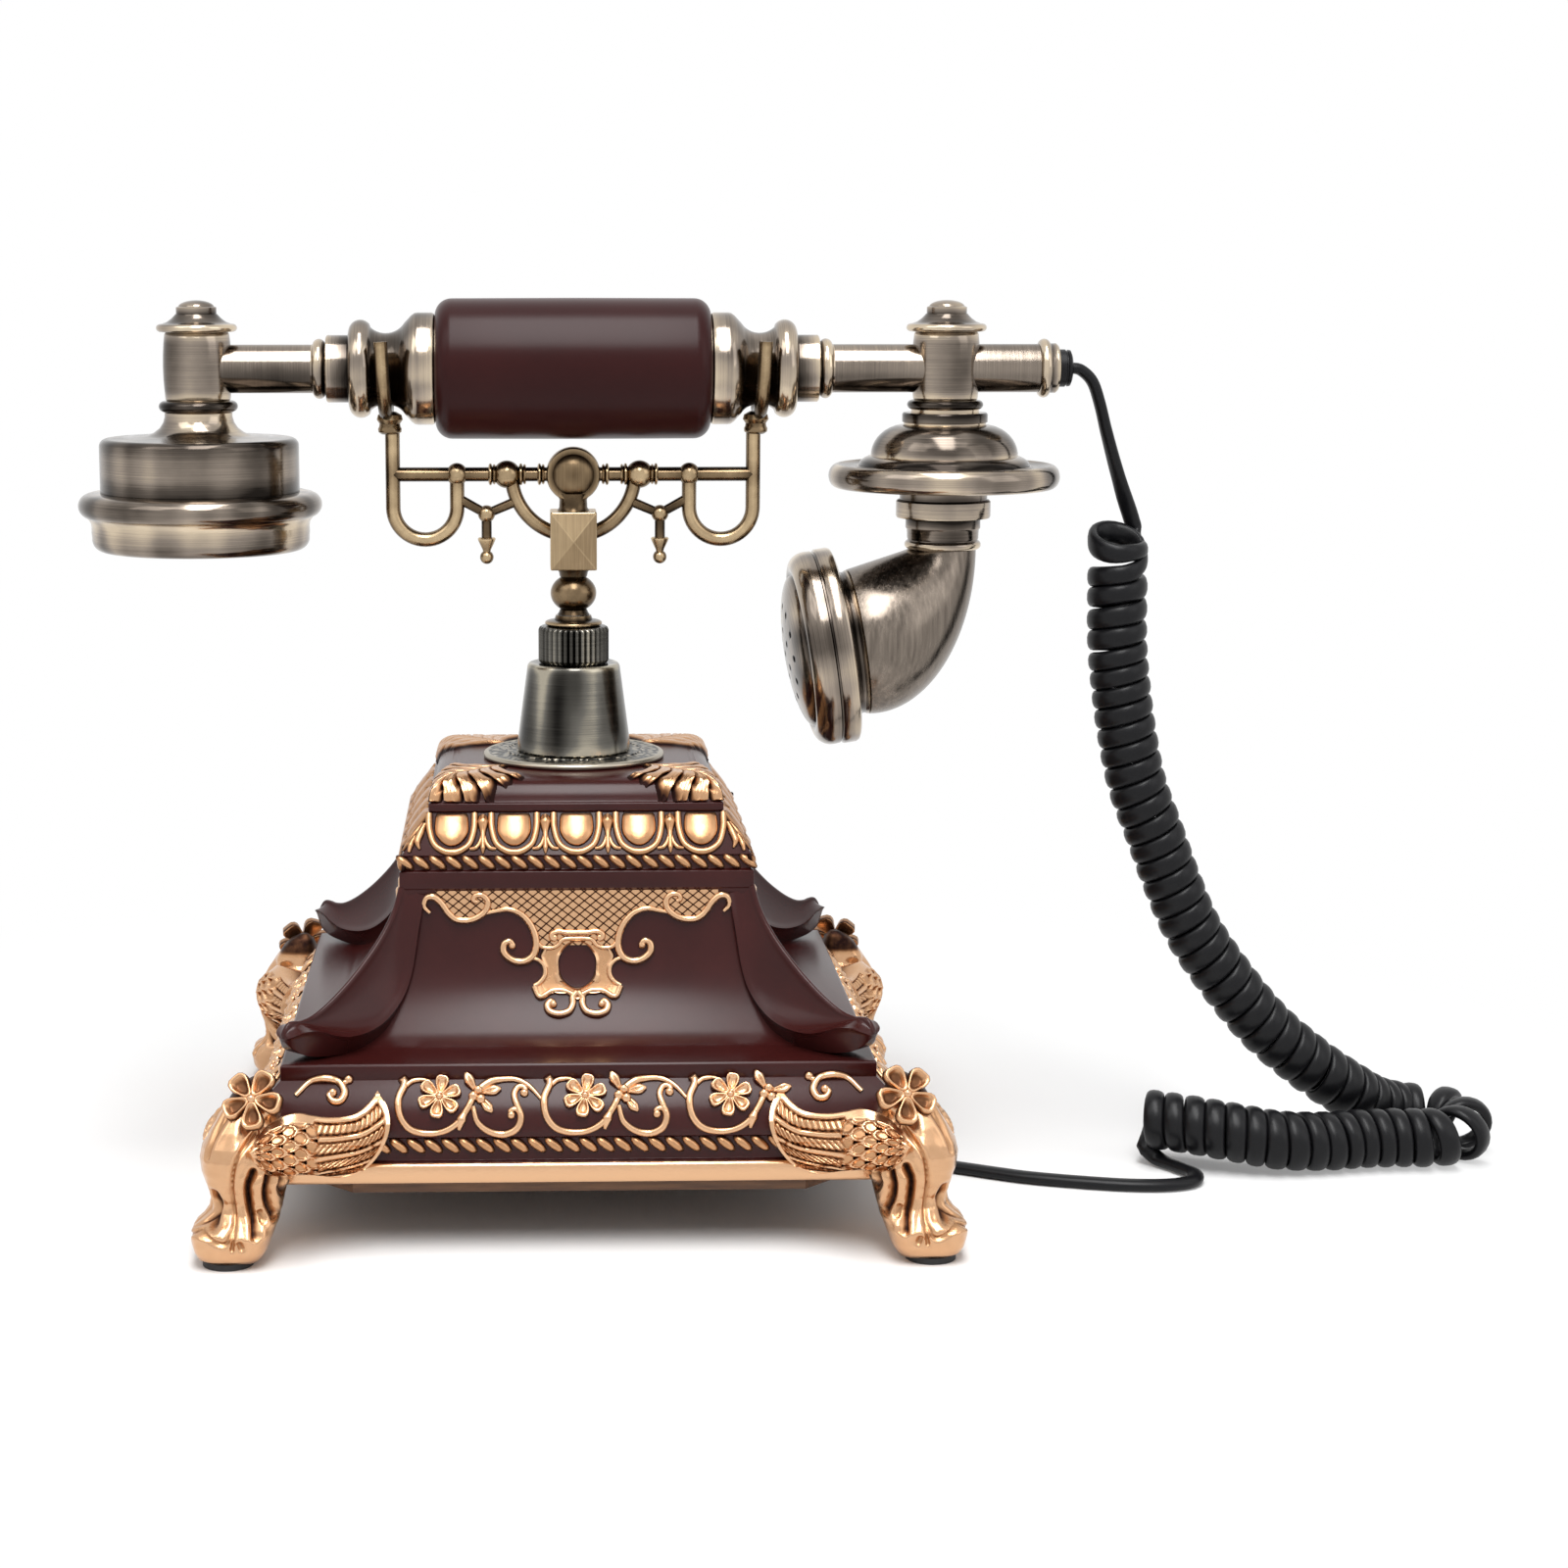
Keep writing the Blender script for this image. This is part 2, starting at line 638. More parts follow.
SOCKET_SIZE, SOCKET_PLACE = (13.2, 20, 9.2), (-22, 74, 22.7)
GILT = ("base", "gilt", GOLD)


def face(z):
    """Half width of the shell at a height."""
    return np.interp(z, [p[1] for p in SHELL], [p[0] for p in SHELL])


def square_stack(stations, bevel):
    """A square plate drawn up through stations of half width and height, with the socket's opening."""
    deselect()
    half, z = stations[0]
    bpy.ops.mesh.primitive_plane_add(size=2 * half * MM, location=(0, 0, z * MM))
    obj = bpy.context.object
    bpy.ops.object.transform_apply(location=True, rotation=True, scale=True)
    edit(obj)
    for (h0, z0), (h1, z1) in zip(stations, stations[1:]):
        bpy.ops.mesh.extrude_region_move(TRANSFORM_OT_translate={"value": (0, 0, (z1 - z0) * MM)})
        bpy.ops.transform.resize(value=(h1 / h0, h1 / h0, 1))
    leave()
    close_up(obj, caps=False)
    soften_edges(obj, *bevel)
    cut(obj, block(SOCKET_SIZE, SOCKET_PLACE))
    return obj


def make_shell():
    shell = square_stack(SHELL + [(6.5, 107.0)], (0.45, 3, 28))
    smooth(shell, 28)
    hand_over(shell, "base_shell_carved", "base", "resin", RESIN, "base_shell")
    band = square_stack(BAND, (0.5, 3, 20))
    set_tone(band, 1.0)
    smooth(band)
    hand_over(band, "gilt_band", *GILT)


# Gilding of the sides
def vine(points, thick, lift=0.25):
    """A stem along points of the front side (across, height), with its radius at places evenly along it."""
    p = flow(points, 5)
    radii = np.interp(np.linspace(0, 1, len(p)), np.linspace(0, 1, len(thick)), thick)
    return rod([(x, -(face(z) + lift), z) for x, z in p], radii, 2)


def vines(stems, middle=0.0, side=1):
    """Stems drawn about a middle, or mirrored by a side of -1."""
    return [vine([(middle + side * x, z) for x, z in points], *rest) for points, *rest in stems]


def knob(x, z, r, lift=0.3):
    return ball((x, -(face(z) + lift), z), (r, r * 0.8, r), 10, 6)


def petal(length, width, height, tip_dent, cupped):
    """One petal along +X on the XY plane: furrowed along its middle, or cupped with a raised rim."""
    obj = ball((0, 0, 0), (1, 1, 1), 18, 18)

    def move(p):
        x, y, z = p.T
        out = np.hypot(x, y)
        wide = width * (0.55 + 0.45 * np.clip(x + 0.4, 0, 1))
        furrow = 0.5 * np.exp(-(y / 0.22) ** 2) * np.clip(1.1 - np.abs(x), 0, 1)
        rimmed = (0.25 + 0.75 * ease(out, 0.42, 0.8)) * (1 - ease(out, 0.93, 1.0))
        top = np.where(z > 0, (1 - cupped) * (z - furrow) + cupped * rimmed, 0.3 * z)
        nx = length * (0.56 + 0.5 * x) - tip_dent * np.clip(x, 0, 1) * np.exp(-(y / 0.3) ** 2)
        return np.stack([nx, wide * y, height * (top + 0.35 * x * (1 - cupped))], 1)

    reshape(obj, move)
    return obj


def flower(count, radius, width, height, eye, cupped):
    petals = [petal(radius, width, height, radius * 0.07, cupped)]
    petals += [copy_of(petals[0], spun(360 * k / count, "Z")) for k in range(1, count)]
    petals.append(ball((0, 0, height * 0.5), (eye, eye, height * 0.9), 12, 8))
    obj = join(petals)
    x, y, z = places(obj).T
    tone = 0.15 + (0.75 - 0.1 * cupped) * z / height + 0.25 * (1 - cupped) * np.hypot(x, y) / radius
    set_tone(obj, np.where(z < -0.02 * height, 0.6, tone))
    return obj


def spray():
    """Three pointed leaves from one stem."""
    return join([put(petal(5.2, 1.55, 1.1, -0.6, 0.0), spun(angle, "Z")) for angle in (118, 12, -52)])


ROPE_PITCH, ROPE_SLANT = 4.03, 38


def rope(end, z, size):
    """Slanting beads along the side, from -end to end."""
    one = put(ball((0, 0, 0), size, 10, 8), spun(ROPE_SLANT, "Y"))
    count = int(round(2 * end / ROPE_PITCH))
    beads = [copy_of(one, shift(x, -(face(z) + 0.15), z)) for x in np.linspace(-end, end, count + 1)]
    bpy.data.objects.remove(one)
    return beads


# Stems of the frieze, each as points (across, height) and radii: around one flower,
# the link to the next flower, and the end towards a leg
FLOWER_STEMS = [
    ([(-9.0, 41.6), (-8.3, 40.2), (-9.7, 37.2), (-9.2, 33.5), (-7, 30.8), (-3.5, 29.7), (0.5, 30.0), (4, 31.8),
      (6.4, 34.8), (7.8, 37.2)], (1.1, 0.95, 0.8, 0.9)),
    ([(-8.4, 39.6), (-6.4, 40.8), (-4.0, 41.0), (-2.2, 40.6)], (0.75, 0.7, 0.5)),
    ([(6.2, 34.6), (5.2, 32.8), (4.6, 30.4)], (0.6, 1.3, 0.4))]
LINK_STEMS = [
    ([(9.0, 38.9), (11.5, 40.3), (14, 40.9), (17.8, 41.0), (21.4, 39.6), (24.6, 36.6)],
     (1.1, 1.2, 0.8, 0.75, 0.45)),
    ([(8.0, 35.6), (9.0, 32.2), (12, 29.9), (15.4, 29.3), (18.2, 30.6), (19.3, 33.2), (18.4, 35.8),
      (17.7, 38.0), (18.6, 39.5), (20.2, 39.4), (20.3, 38.3)], (0.65, 0.9, 0.95, 0.8, 0.7)),
    ([(19.2, 34.0), (18.0, 35.0), (16.8, 34.6), (16.9, 33.6)], (0.65, 0.7, 0.6))]
END_STEMS = [
    ([(67.2, 38.2), (64, 40.8), (60.5, 41.6), (57.2, 40.8), (55.6, 38.9), (56.5, 37.1), (58.4, 37),
      (59.3, 38.2), (58.4, 39)], (0.65, 1.0, 1.0, 0.9, 0.75)),
    ([(57.0, 40.7), (55.8, 40.6), (54.8, 41.0)], (0.65, 0.75, 0.85))]
FLOWER_PLACES, FLOWER_Z, SPRAY_X, SPRAY_Z = (-33.2, 1.3, 35.8), 37.6, 8.9, 38.2
SLOPE = (0, -0.85, 0.5)


def frieze_vines():
    made = []
    for x in FLOWER_PLACES:
        made += vines(FLOWER_STEMS, x)
        made.append(put(spray(), facing((x + SPRAY_X, -(face(SPRAY_Z) + 0.1), SPRAY_Z), SLOPE)))
        for dx, dz, r in ((-0.9, -0.3, 1.25), (0.9, -0.9, 1.2), (0.3, 0.9, 1.2)):
            made.append(knob(x + SPRAY_X + dx, SPRAY_Z + dz, r, 0.9))
        if x != FLOWER_PLACES[-1]:
            made += vines(LINK_STEMS, x) + [knob(x + 20.1, 38.3, 1.1), knob(x + 17.0, 33.7, 1.0)]
        bloom = flower(6, 5.3, 2.0, 1.5, 1.0, 0.8)
        made.append(put(bloom, facing((x, -(face(FLOWER_Z) + 0.2), FLOWER_Z), SLOPE, roll=20)))
    for side in (-1, 1):
        made += vines(END_STEMS, side=side)
        made += [knob(side * 58.5, 38.6, 1.15), knob(side * 54.8, 41.2, 1.15)]
    return made


EGGS, EGG_PITCH = 5, 15.3
EGG_CUP = [([(-5.6, 98.7), (-5.5, 95.6), (-4.4, 92.3), (-2.2, 90.7), (0, 90.3), (2.2, 90.7), (4.4, 92.3),
             (5.5, 95.6), (5.6, 98.7)], (0.95, 0.85, 0.95, 0.85, 0.95), 0.3)]
DART = [([(0, 98.3), (0, 96.4), (0, 93.5), (0, 91.6), (0, 90.0)], (0.95, 1.6, 0.75, 0.6, 0.75, 0.2), 0.25)]
DART_BARB = [([(0.2, 94.6), (0.7, 92.6), (1.7, 91.3), (3.2, 91.0)], (0.4, 0.6, 0.7, 0.45), 0.15)]
END_LEAVES = [([(37.2, 96.6), (38.2, 94.6), (39.0, 92.6), (38.4, 91.0)], (0.5, 1.0, 0.9, 0.3), 0.2),
              ([(39.6, 94.0), (40.6, 92.0), (41.0, 90.4)], (0.3, 0.8, 0.4), 0.2)]


def egg_band():
    made = []
    for k in range(EGGS):
        middle = EGG_PITCH * (k - (EGGS - 1) / 2)

        def move(p):
            x, y, z = p.T
            nz = np.minimum(95.6 + np.where(z > 0, 7.0, 3.9) * z, 98.8)
            nx = middle + 4.3 * np.sign(x) * np.abs(x) ** 0.85 * (1 - 0.25 * np.clip(-z, 0, 1) ** 2)
            return np.stack([nx, -(face(nz) + 0.1) + 1.9 * np.where(y < 0, y, 0.2 * y), nz], 1)

        egg = ball((0, 0, 0), (1, 1, 1), 22, 16)
        reshape(egg, move)
        smooth(egg, 60)
        made += [egg] + vines(EGG_CUP, middle)
        if k < EGGS - 1:
            dart = middle + EGG_PITCH / 2
            made += vines(DART, dart) + vines(DART_BARB, dart) + vines(DART_BARB, dart, -1)
    return made + vines(END_LEAVES) + vines(END_LEAVES, side=-1)


CARTOUCHE_EDGE = [(35.8, 79.2), (34.2, 79.0), (32.2, 76.4), (30.2, 74.4), (27.2, 73.6), (24.6, 74.3),
                  (22.3, 75.6), (18.0, 76.3), (14.6, 75.5), (12.0, 73.2), (10.4, 70.2), (9.6, 67.6)]
SHIELD_EDGE = [(0, 69.0), (3.2, 69.2), (5.0, 67.4), (8.2, 66.9), (9.2, 65.2), (8.0, 62.6), (8.2, 60.2),
               (10.8, 58.0), (9.2, 55.4), (6.0, 56.6), (2.6, 56.5), (0, 55.0)]
SHIELD_Z, OVAL_HALF, OVAL_TALL = 63.0, 4.4, 5.4
LATTICE_HALF, LATTICE_TOP = 34.6, 81.0
STRAPS = [
    ([(36.0, 75.6), (37.4, 77.2), (36.8, 79.2), (35.0, 79.5), (33.2, 78.0), (31.4, 75.4), (29.4, 73.9),
      (26.8, 73.7), (24.2, 74.5), (22.3, 76.2), (21.8, 78.2), (23.0, 79.8), (24.8, 79.8), (25.3, 78.6),
      (24.4, 78.2)],
     (0.5, 0.95, 0.9, 0.9, 0.8, 0.6), 0.5),
    ([(23.0, 75.3), (20.0, 75.9), (17.2, 76.4), (14.2, 75.5), (11.8, 73.2), (10.4, 70.4), (10.0, 67.4),
      (11.0, 64.9), (13.4, 63.7), (15.8, 64.1), (17.9, 65.8), (17.9, 67.9), (16.5, 68.6), (15.6, 67.6)],
     (0.5, 0.8, 0.95, 1.0, 0.95, 0.7), 0.5),
    ([(9.8, 68.4), (8.6, 67.2), (6.6, 66.9), (4.8, 67.5), (3.6, 68.9), (1.6, 69.2), (0, 69.2)],
     (0.55, 0.6, 0.6), 0.6),
    ([(0, 70.6), (2.4, 70.6), (4.6, 70.9), (6.0, 70.4), (6.2, 69.3), (5.2, 68.9)], (0.75, 0.75, 0.8, 0.6), 0.7),
    ([(0.2, 56.6), (1.2, 55.4), (1.2, 54.0), (2.2, 52.4), (4.6, 51.8), (6.8, 52.4), (7.4, 53.8), (6.4, 54.6),
      (5.6, 54.0)], (0.9, 0.9, 1.0, 0.95, 0.7), 0.4),
    ([(10.9, 64.6), (9.2, 63.9), (8.0, 62.4), (8.0, 60.4), (9.2, 58.9), (10.6, 58.1)],
     (0.6, 0.6, 0.7, 0.7), 0.6),
    ([(10.6, 58.0), (9.2, 55.6), (6.4, 56.9), (3.4, 57.0), (1.2, 56.2)], (0.8, 0.8, 0.7, 0.7), 0.5)]
STRAP_KNOBS = [(15.9, 67.5, 0.95, 0.5), (5.5, 69.4, 0.85, 0.7), (5.9, 53.9, 0.95, 0.4)]


def mirrored(edge):
    return np.array(edge + [(-x, z) for x, z in edge])


def lattice_field(u, v):
    edge = mirrored(CARTOUCHE_EDGE)
    edge = edge[np.argsort(edge[:, 0])]
    x = LATTICE_HALF * (2 * u - 1)
    inner_x, inner_z = CARTOUCHE_EDGE[-1]
    bottom = np.where(np.abs(x) < inner_x, inner_z, np.interp(x, edge[:, 0], edge[:, 1]))
    z = bottom + (LATTICE_TOP - bottom) * v
    return np.stack([x, -(face(z) + 0.55), z], 1), None


def shield(u, v):
    """The shield around the oval, from the oval's edge outwards."""
    edge = mirrored(SHIELD_EDGE) - (0, SHIELD_Z)
    angle, reach = np.arctan2(edge[:, 0], edge[:, 1]), np.hypot(edge[:, 0], edge[:, 1])
    a = np.where(u > 0.5, u - 1, u) * TAU
    rim = np.interp(a, angle, reach, period=TAU)
    oval = 1 / np.sqrt((np.sin(a) / OVAL_HALF) ** 2 + (np.cos(a) / OVAL_TALL) ** 2)
    r = oval + (rim - oval) * v
    x, z = r * np.sin(a), SHIELD_Z + r * np.cos(a)
    lift = 0.5 + 0.55 * np.exp(-((v - 0.08) / 0.09) ** 2) + 0.6 * np.exp(-((v - 0.9) / 0.09) ** 2)
    lift = np.where((v < 0.01) | (v > 0.99), -0.2, lift)
    return np.stack([x, -(face(z) + lift), z], 1), None


def cartouche():
    made = [bent_grid("shield", 120, 14, shield, False, 50)]
    for side in (-1, 1):
        made += vines(STRAPS, side=side) + [knob(side * x, *rest) for x, *rest in STRAP_KNOBS]
    return made


def relief(pieces, depth, most=1.0):
    """Joins carved pieces, dark at the shell and bright where they stand out by the depth."""
    obj = join(pieces)
    _, y, z = places(obj).T
    set_tone(obj, np.minimum(0.08 + (-y - face(z)) / depth, most))
    return obj


def make_side_gilding():
    ropes = rope(75.5, 26.4, (2.95, 1.35, 1.15)) + rope(42.0, 87.9, (2.85, 1.35, 1.1))
    lattice = bent_grid("lattice", 120, 24, lattice_field, False, 40, 1.2)
    set_tone(lattice, 0.86)
    masters = {"mouldings": (relief(ropes + egg_band(), 1.5, 0.55), GOLD),
               "frieze_vines": (relief(frieze_vines(), 1.05), GOLD),
               "cartouche": (relief(cartouche(), 0.9), GOLD),
               "cartouche_lattice": (lattice, GOLD_LATTICE)}
    for side, angle in (("front", 0), ("right", 90), ("back", 180), ("left", 270)):
        for name, (master, material) in masters.items():
            # the dial takes the cartouche's place at the back
            if side != "back" or "cartouche" not in name:
                hand_over(copy_of(master, spun(angle, "Z")), f"{name}_{side}", "base", "gilt", material)
    for master, _ in masters.values():
        bpy.data.objects.remove(master)


make_shell()
make_side_gilding()


# Legs with wings
LEG = [(1.5, 88.6, 75.4), (2.5, 90.0, 74.6), (4.0, 90.8, 73.6), (5.6, 91.2, 73.0), (8.1, 91.4, 72.0),
       (9.8, 90.2, 71.4), (11.2, 88.6, 70.9), (13.0, 87.5, 70.4), (15.5, 87.0, 69.8), (18.0, 87.3, 69.2),
       (20.0, 88.0, 68.2), (22.5, 88.8, 67.4), (25.9, 89.2, 67.0), (28.7, 88.6, 67.6), (32.5, 86.6, 69.6),
       (35.0, 84.9, 71.2), (37.5, 83.2, 71.8), (40.0, 81.6, 72.4), (42.0, 79.6, 73.2), (43.5, 76.8, 74.6)]
# Furrows between the folds as a side of the leg shows them: half width, depth,
# and places by distance from the middle of the telephone and height
FURROWS = [(wide, deep, flow(points, 10)) for wide, deep, points in (
    (0.5, 0.7, [(-81.9, 36.7), (-83.9, 33.9), (-86.0, 30.5), (-87.1, 27.0)]),
    (0.5, 0.8, [(-75.3, 32.4), (-78.4, 29.4), (-80.1, 26.9), (-81.0, 23.5), (-81.4, 20.0), (-81.3, 16.5),
                (-80.9, 13.0), (-80.8, 9.5), (-81.2, 6.0)]),
    (0.75, 1.5, [(-76.0, 23.4), (-77.4, 21.0), (-77.6, 18.2), (-77.2, 14.7), (-76.4, 12.3), (-75.8, 8.8)]),
    (0.75, 1.5, [(-72.2, 22.4), (-73.2, 20.3), (-73.4, 17.8), (-73.0, 15.4), (-71.7, 12.6)]),
    (0.6, 1.2, [(-69.2, 21.6), (-70.1, 19.9), (-69.8, 18.1), (-69.0, 16.4)]),
    (0.8, 1.4, [(-85.6, 17.9), (-84.7, 15.8), (-85.3, 13.1), (-85.6, 11.0)]),
    (0.6, 0.8, [(-89.8, 11.4), (-88.2, 9.8), (-85.9, 8.2), (-83.5, 7.4), (-82.2, 8.0), (-81.3, 9.9)]),
    (0.7, 0.9, [(-79.4, 7.3), (-78.9, 6.3)]),
    (0.8, 0.9, [(-74.9, 13.5), (-74.4, 12.1)]))]
LEG_FOOT, LEG_TALL = 1.5, 42.0


def make_leg():
    """One leg at the corner towards -X and -Y, with its folds; the outward corner lies at angle 0."""
    heights, outers, inners = np.array(LEG).T

    def place(u, v):
        a = (u - 0.5) * TAU
        z = LEG_FOOT + LEG_TALL * v
        outer, inner = np.interp(z, heights, outers), np.interp(z, heights, inners)
        centre, half = (outer + inner) / 2, (outer - inner) / 2
        d = a + math.radians(225)
        c, s = np.cos(d), np.sin(d)
        squareness = 3.2
        r = half / (np.abs(c) ** squareness + np.abs(s) ** squareness) ** (1 / squareness)
        corner = np.exp(-(a / 0.55) ** 2)
        r = r - corner * 1.5 * np.exp(-((z - 13.5) / 2.6) ** 2) + corner * 0.8 * np.exp(-((z - 9.5) / 1.6) ** 2)
        x, y = -centre + r * c, -centre + r * s
        across, outward = np.maximum(x, y), -np.minimum(x, y)
        dent, fold, dark = np.zeros((3, len(a)))
        for wide, deep, line in FURROWS:
            near = np.min(np.hypot(across[:, None] - line[:, 0], z[:, None] - line[:, 1]), axis=1)
            groove = np.exp(-(near / wide) ** 2)
            dent = np.maximum(dent, deep * groove)
            fold = np.maximum(fold, 0.22 * deep * np.exp(-((near / wide - 2.4) / 1.1) ** 2))
            dark = np.maximum(dark, deep / 1.5 * groove)
        dent -= fold * (1 - ease(dent, 0, 0.5))
        # the wing's shoulder lies in a shallow bed
        dent += 1.8 * ease(across, -80.5, -76.0) * ease(z, 20.5, 24.0) * (1 - ease(z, 33.5, 37.0))
        on_face = np.clip((outward - centre) / 4, 0, 1)
        tone = (0.82 - 0.66 * dark * on_face) * (1 - 0.72 * ease(z, 37.0, 39.0))
        r = r - dent * on_face
        return np.stack([-centre + r * c, -centre + r * s, z], 1), tone

    return bent_grid("leg", 220, 120, place, angle=55)


WING_TOP = flow([(-77.8, 26.9), (-75.4, 31.1), (-72.0, 34.6), (-66.9, 36.6), (-62.6, 36.0), (-58.6, 35.5),
                 (-53.5, 36.1), (-50.1, 38.5), (-47.4, 42.3)], 8)
WING_FOOT = flow([(-77.8, 26.9), (-76.2, 24.1), (-73.6, 21.5), (-70.9, 21.2), (-65.5, 22.0), (-60.1, 21.2)], 8)
WING_RIM = flow([(-60.1, 21.2), (-55.4, 20.7), (-50.7, 22.5), (-47.3, 26.0), (-45.2, 30.1), (-44.4, 34.0),
                 (-45.1, 38.2), (-47.4, 42.3)], 8)
WING_ROOT = np.array([(-77.8, 26.85), (-77.8, 26.95)])
# The wing is drawn on the plane y = WING_Y as the eye sees it
WING_Y, EYE = -83.0, np.array([-12.23, -765.0, 234.2])
FEATHERS, FEATHER_X = 4.05, -61.5


def along(line, s):
    """Places at shares s of a line's length."""
    step = np.concatenate([[0], np.cumsum(np.linalg.norm(np.diff(line, axis=0), axis=1))])
    return np.stack([np.interp(s * step[-1], step, column) for column in line.T], 1)


def slab(value, low, low_rise, high, high_rise):
    """1 between low and high, with a straight rise and fall inside them."""
    return np.clip((value - low) / low_rise, 0, 1) * np.clip((high - value) / high_rise, 0, 1)


def wing_feathers(s, t, x):
    """Height and tone of the feathers: a rib and a barbed vane each, spreading from the shoulder."""
    spread = np.clip((x - FEATHER_X) / (along(WING_RIM, t)[:, 0] - FEATHER_X), 0, 1)
    f = (t - 0.43 * (1 - t) * spread) * FEATHERS
    part = f - np.floor(f)
    rib = np.where(f < 0, 1, slab(part, 0.60, 0.12, 1.0, 0.10))
    vane = np.where(f < 0, 0, slab(part, 0, 0.12, 0.62, 0.10))
    barb = 0.5 + 0.5 * np.sin((40 * s - part * 2.6) * TAU / 1.45)
    return 0.95 * rib + vane * (0.35 + 0.40 * barb), 0.16 + 0.81 * rib + vane * (0.26 + 0.55 * barb)


def wing_scales(t, x):
    """Height and tone of the rounded scales on the shoulder, each with a raised edge."""
    reach = (x + 77.8) / 16.3
    best = np.zeros_like(t)
    for back in (0, 1):
        row = np.floor(reach * 6) - back
        middle = (row + 0.35) / 6
        lane = t * 5.2 + 0.5 * (row % 2)
        off = (lane - np.floor(lane) - 0.5) / 0.55
        d = np.hypot(off, (reach - middle) / 0.2)
        scale = 0.5 + 0.5 * np.exp(-((d - 0.74) / 0.16) ** 2) - 0.8 * np.clip((d - 0.86) / 0.14, 0, 1)
        best = np.maximum(best, np.where((d < 1) & (reach > middle - 0.07), scale, 0))
    drawn = np.clip((reach - 0.08) / 0.1, 0, 1)
    return drawn * best * 1.7 + (1 - drawn) * 1.3, drawn * (1.15 * best - 0.02) + (1 - drawn) * 0.9


def wing_place(s, t):
    """A wing on the front side, drawn on a plane and set onto the slope behind it as the eye sees it."""
    p = (along(WING_FOOT, s) * (1 - t)[:, None] + along(WING_TOP, s) * t[:, None]
         + along(WING_ROOT, t) * (1 - s)[:, None] + along(WING_RIM, t) * s[:, None])
    p -= ((1 - s) * (1 - t))[:, None] * WING_FOOT[0] + (s * (1 - t))[:, None] * WING_FOOT[-1]
    p -= ((1 - s) * t)[:, None] * WING_TOP[0] + (s * t)[:, None] * WING_TOP[-1]
    x, z = p.T
    feathered = ease(x + 0.5 * np.sin(t * 16), FEATHER_X - 0.7, FEATHER_X + 0.1)
    rim = np.maximum.reduce([np.clip((s - 0.94) / 0.015, 0, 1), np.clip((0.04 - t) / 0.02, 0, 1) * feathered,
                             np.clip((t - 0.84 - 0.08 * feathered) / 0.03, 0, 1)])
    kinds = zip(wing_feathers(s, t, x), wing_scales(t, x))
    high, tone = (feathered * f + (1 - feathered) * g for f, g in kinds)
    high = high * (1 - rim) + 1.15 * rim
    tone = tone * (1 - rim) + 0.95 * rim
    swell = 1.1 * np.sin(math.pi * np.clip(t, 0, 1)) * (1 - 0.5 * s)
    lean = ease(x, -70.0, -52.0)
    knee = np.interp(z, [row[0] for row in LEG], [row[1] for row in LEG]) - 2.4
    y = -(knee * (1 - lean) + (face(z) + 1.6) * lean) - swell - high
    edge = np.minimum(np.minimum(s, 1 - s), np.minimum(t, 1 - t)) < 1e-6
    y = np.where(edge, -(face(z) - 1.0), y)
    k = (y - EYE[1]) / (WING_Y - EYE[1])
    return np.stack([EYE[0] + (x - EYE[0]) * k, y, EYE[2] + (z - EYE[2]) * k], 1), np.where(edge, 0.1, tone)


MIRROR_X = Matrix.Scale(-1, 4, (1, 0, 0))
MIRROR_Y = Matrix.Scale(-1, 4, (0, 1, 0))
ACROSS = Matrix(((0, 1, 0, 0), (1, 0, 0, 0), (0, 0, 1, 0), (0, 0, 0, 1)))
CORNERS = {"front_left": HERE, "front_right": MIRROR_X,
           "back_left": MIRROR_Y, "back_right": MIRROR_X @ MIRROR_Y}


def make_legs():
    wing = bent_grid("wing", 170, 90, wing_place, False, 70)
    bloom = put(flower(5, 7.4, 3.2, 1.9, 1.3, 1.0), facing((-76.3, -83.4, 39.8), (-0.3, -1, 0.65), roll=-6))
    master = join([make_leg(), wing, copy_of(wing, ACROSS), bloom])
    for corner, matrix in CORNERS.items():
        hand_over(copy_of(master, matrix), f"leg_{corner}_carved", *GILT, f"leg_{corner}")
    bpy.data.objects.remove(master)


# Corner scrolls and leaves
# Stations along the scroll, all in the corner's upright plane as distance from the middle and height:
# its ridge, the lip where the flank ends with half the width there, and its foot with half the width there
SCROLL = flow([
    (43.4, 82.0, 40.6, 80.0, 4.4, 38.0, 79.0, 3.2), (44.6, 77.6, 41.6, 74.5, 4.4, 38.5, 73.0, 2.9),
    (46.4, 73.5, 42.6, 69.0, 4.5, 39.5, 66.5, 2.8), (49.2, 69.0, 43.6, 63.0, 4.6, 40.5, 60.5, 2.7),
    (52.6, 64.7, 45.2, 58.0, 4.9, 42.0, 55.5, 2.9), (56.0, 61.0, 47.6, 54.4, 5.3, 44.0, 51.5, 3.3),
    (60.0, 57.4, 51.0, 51.4, 5.8, 47.5, 46.0, 4.4), (63.4, 55.2, 55.0, 49.9, 6.2, 52.0, 45.0, 5.0),
    (66.0, 54.6, 59.4, 49.8, 6.2, 56.5, 44.9, 5.2), (67.6, 54.8, 62.6, 51.0, 5.9, 60.5, 45.1, 5.0),
    (68.7, 54.8, 65.2, 52.4, 5.3, 64.4, 45.7, 4.7), (69.5, 54.3, 67.6, 52.9, 4.5, 67.2, 46.7, 4.0),
    (70.0, 53.4, 69.2, 52.3, 3.5, 68.8, 48.0, 3.2), (70.3, 52.4, 70.0, 51.7, 2.3, 69.7, 49.3, 2.1),
    (70.4, 51.3, 70.3, 51.1, 0.9, 70.2, 50.3, 0.8)], 6)


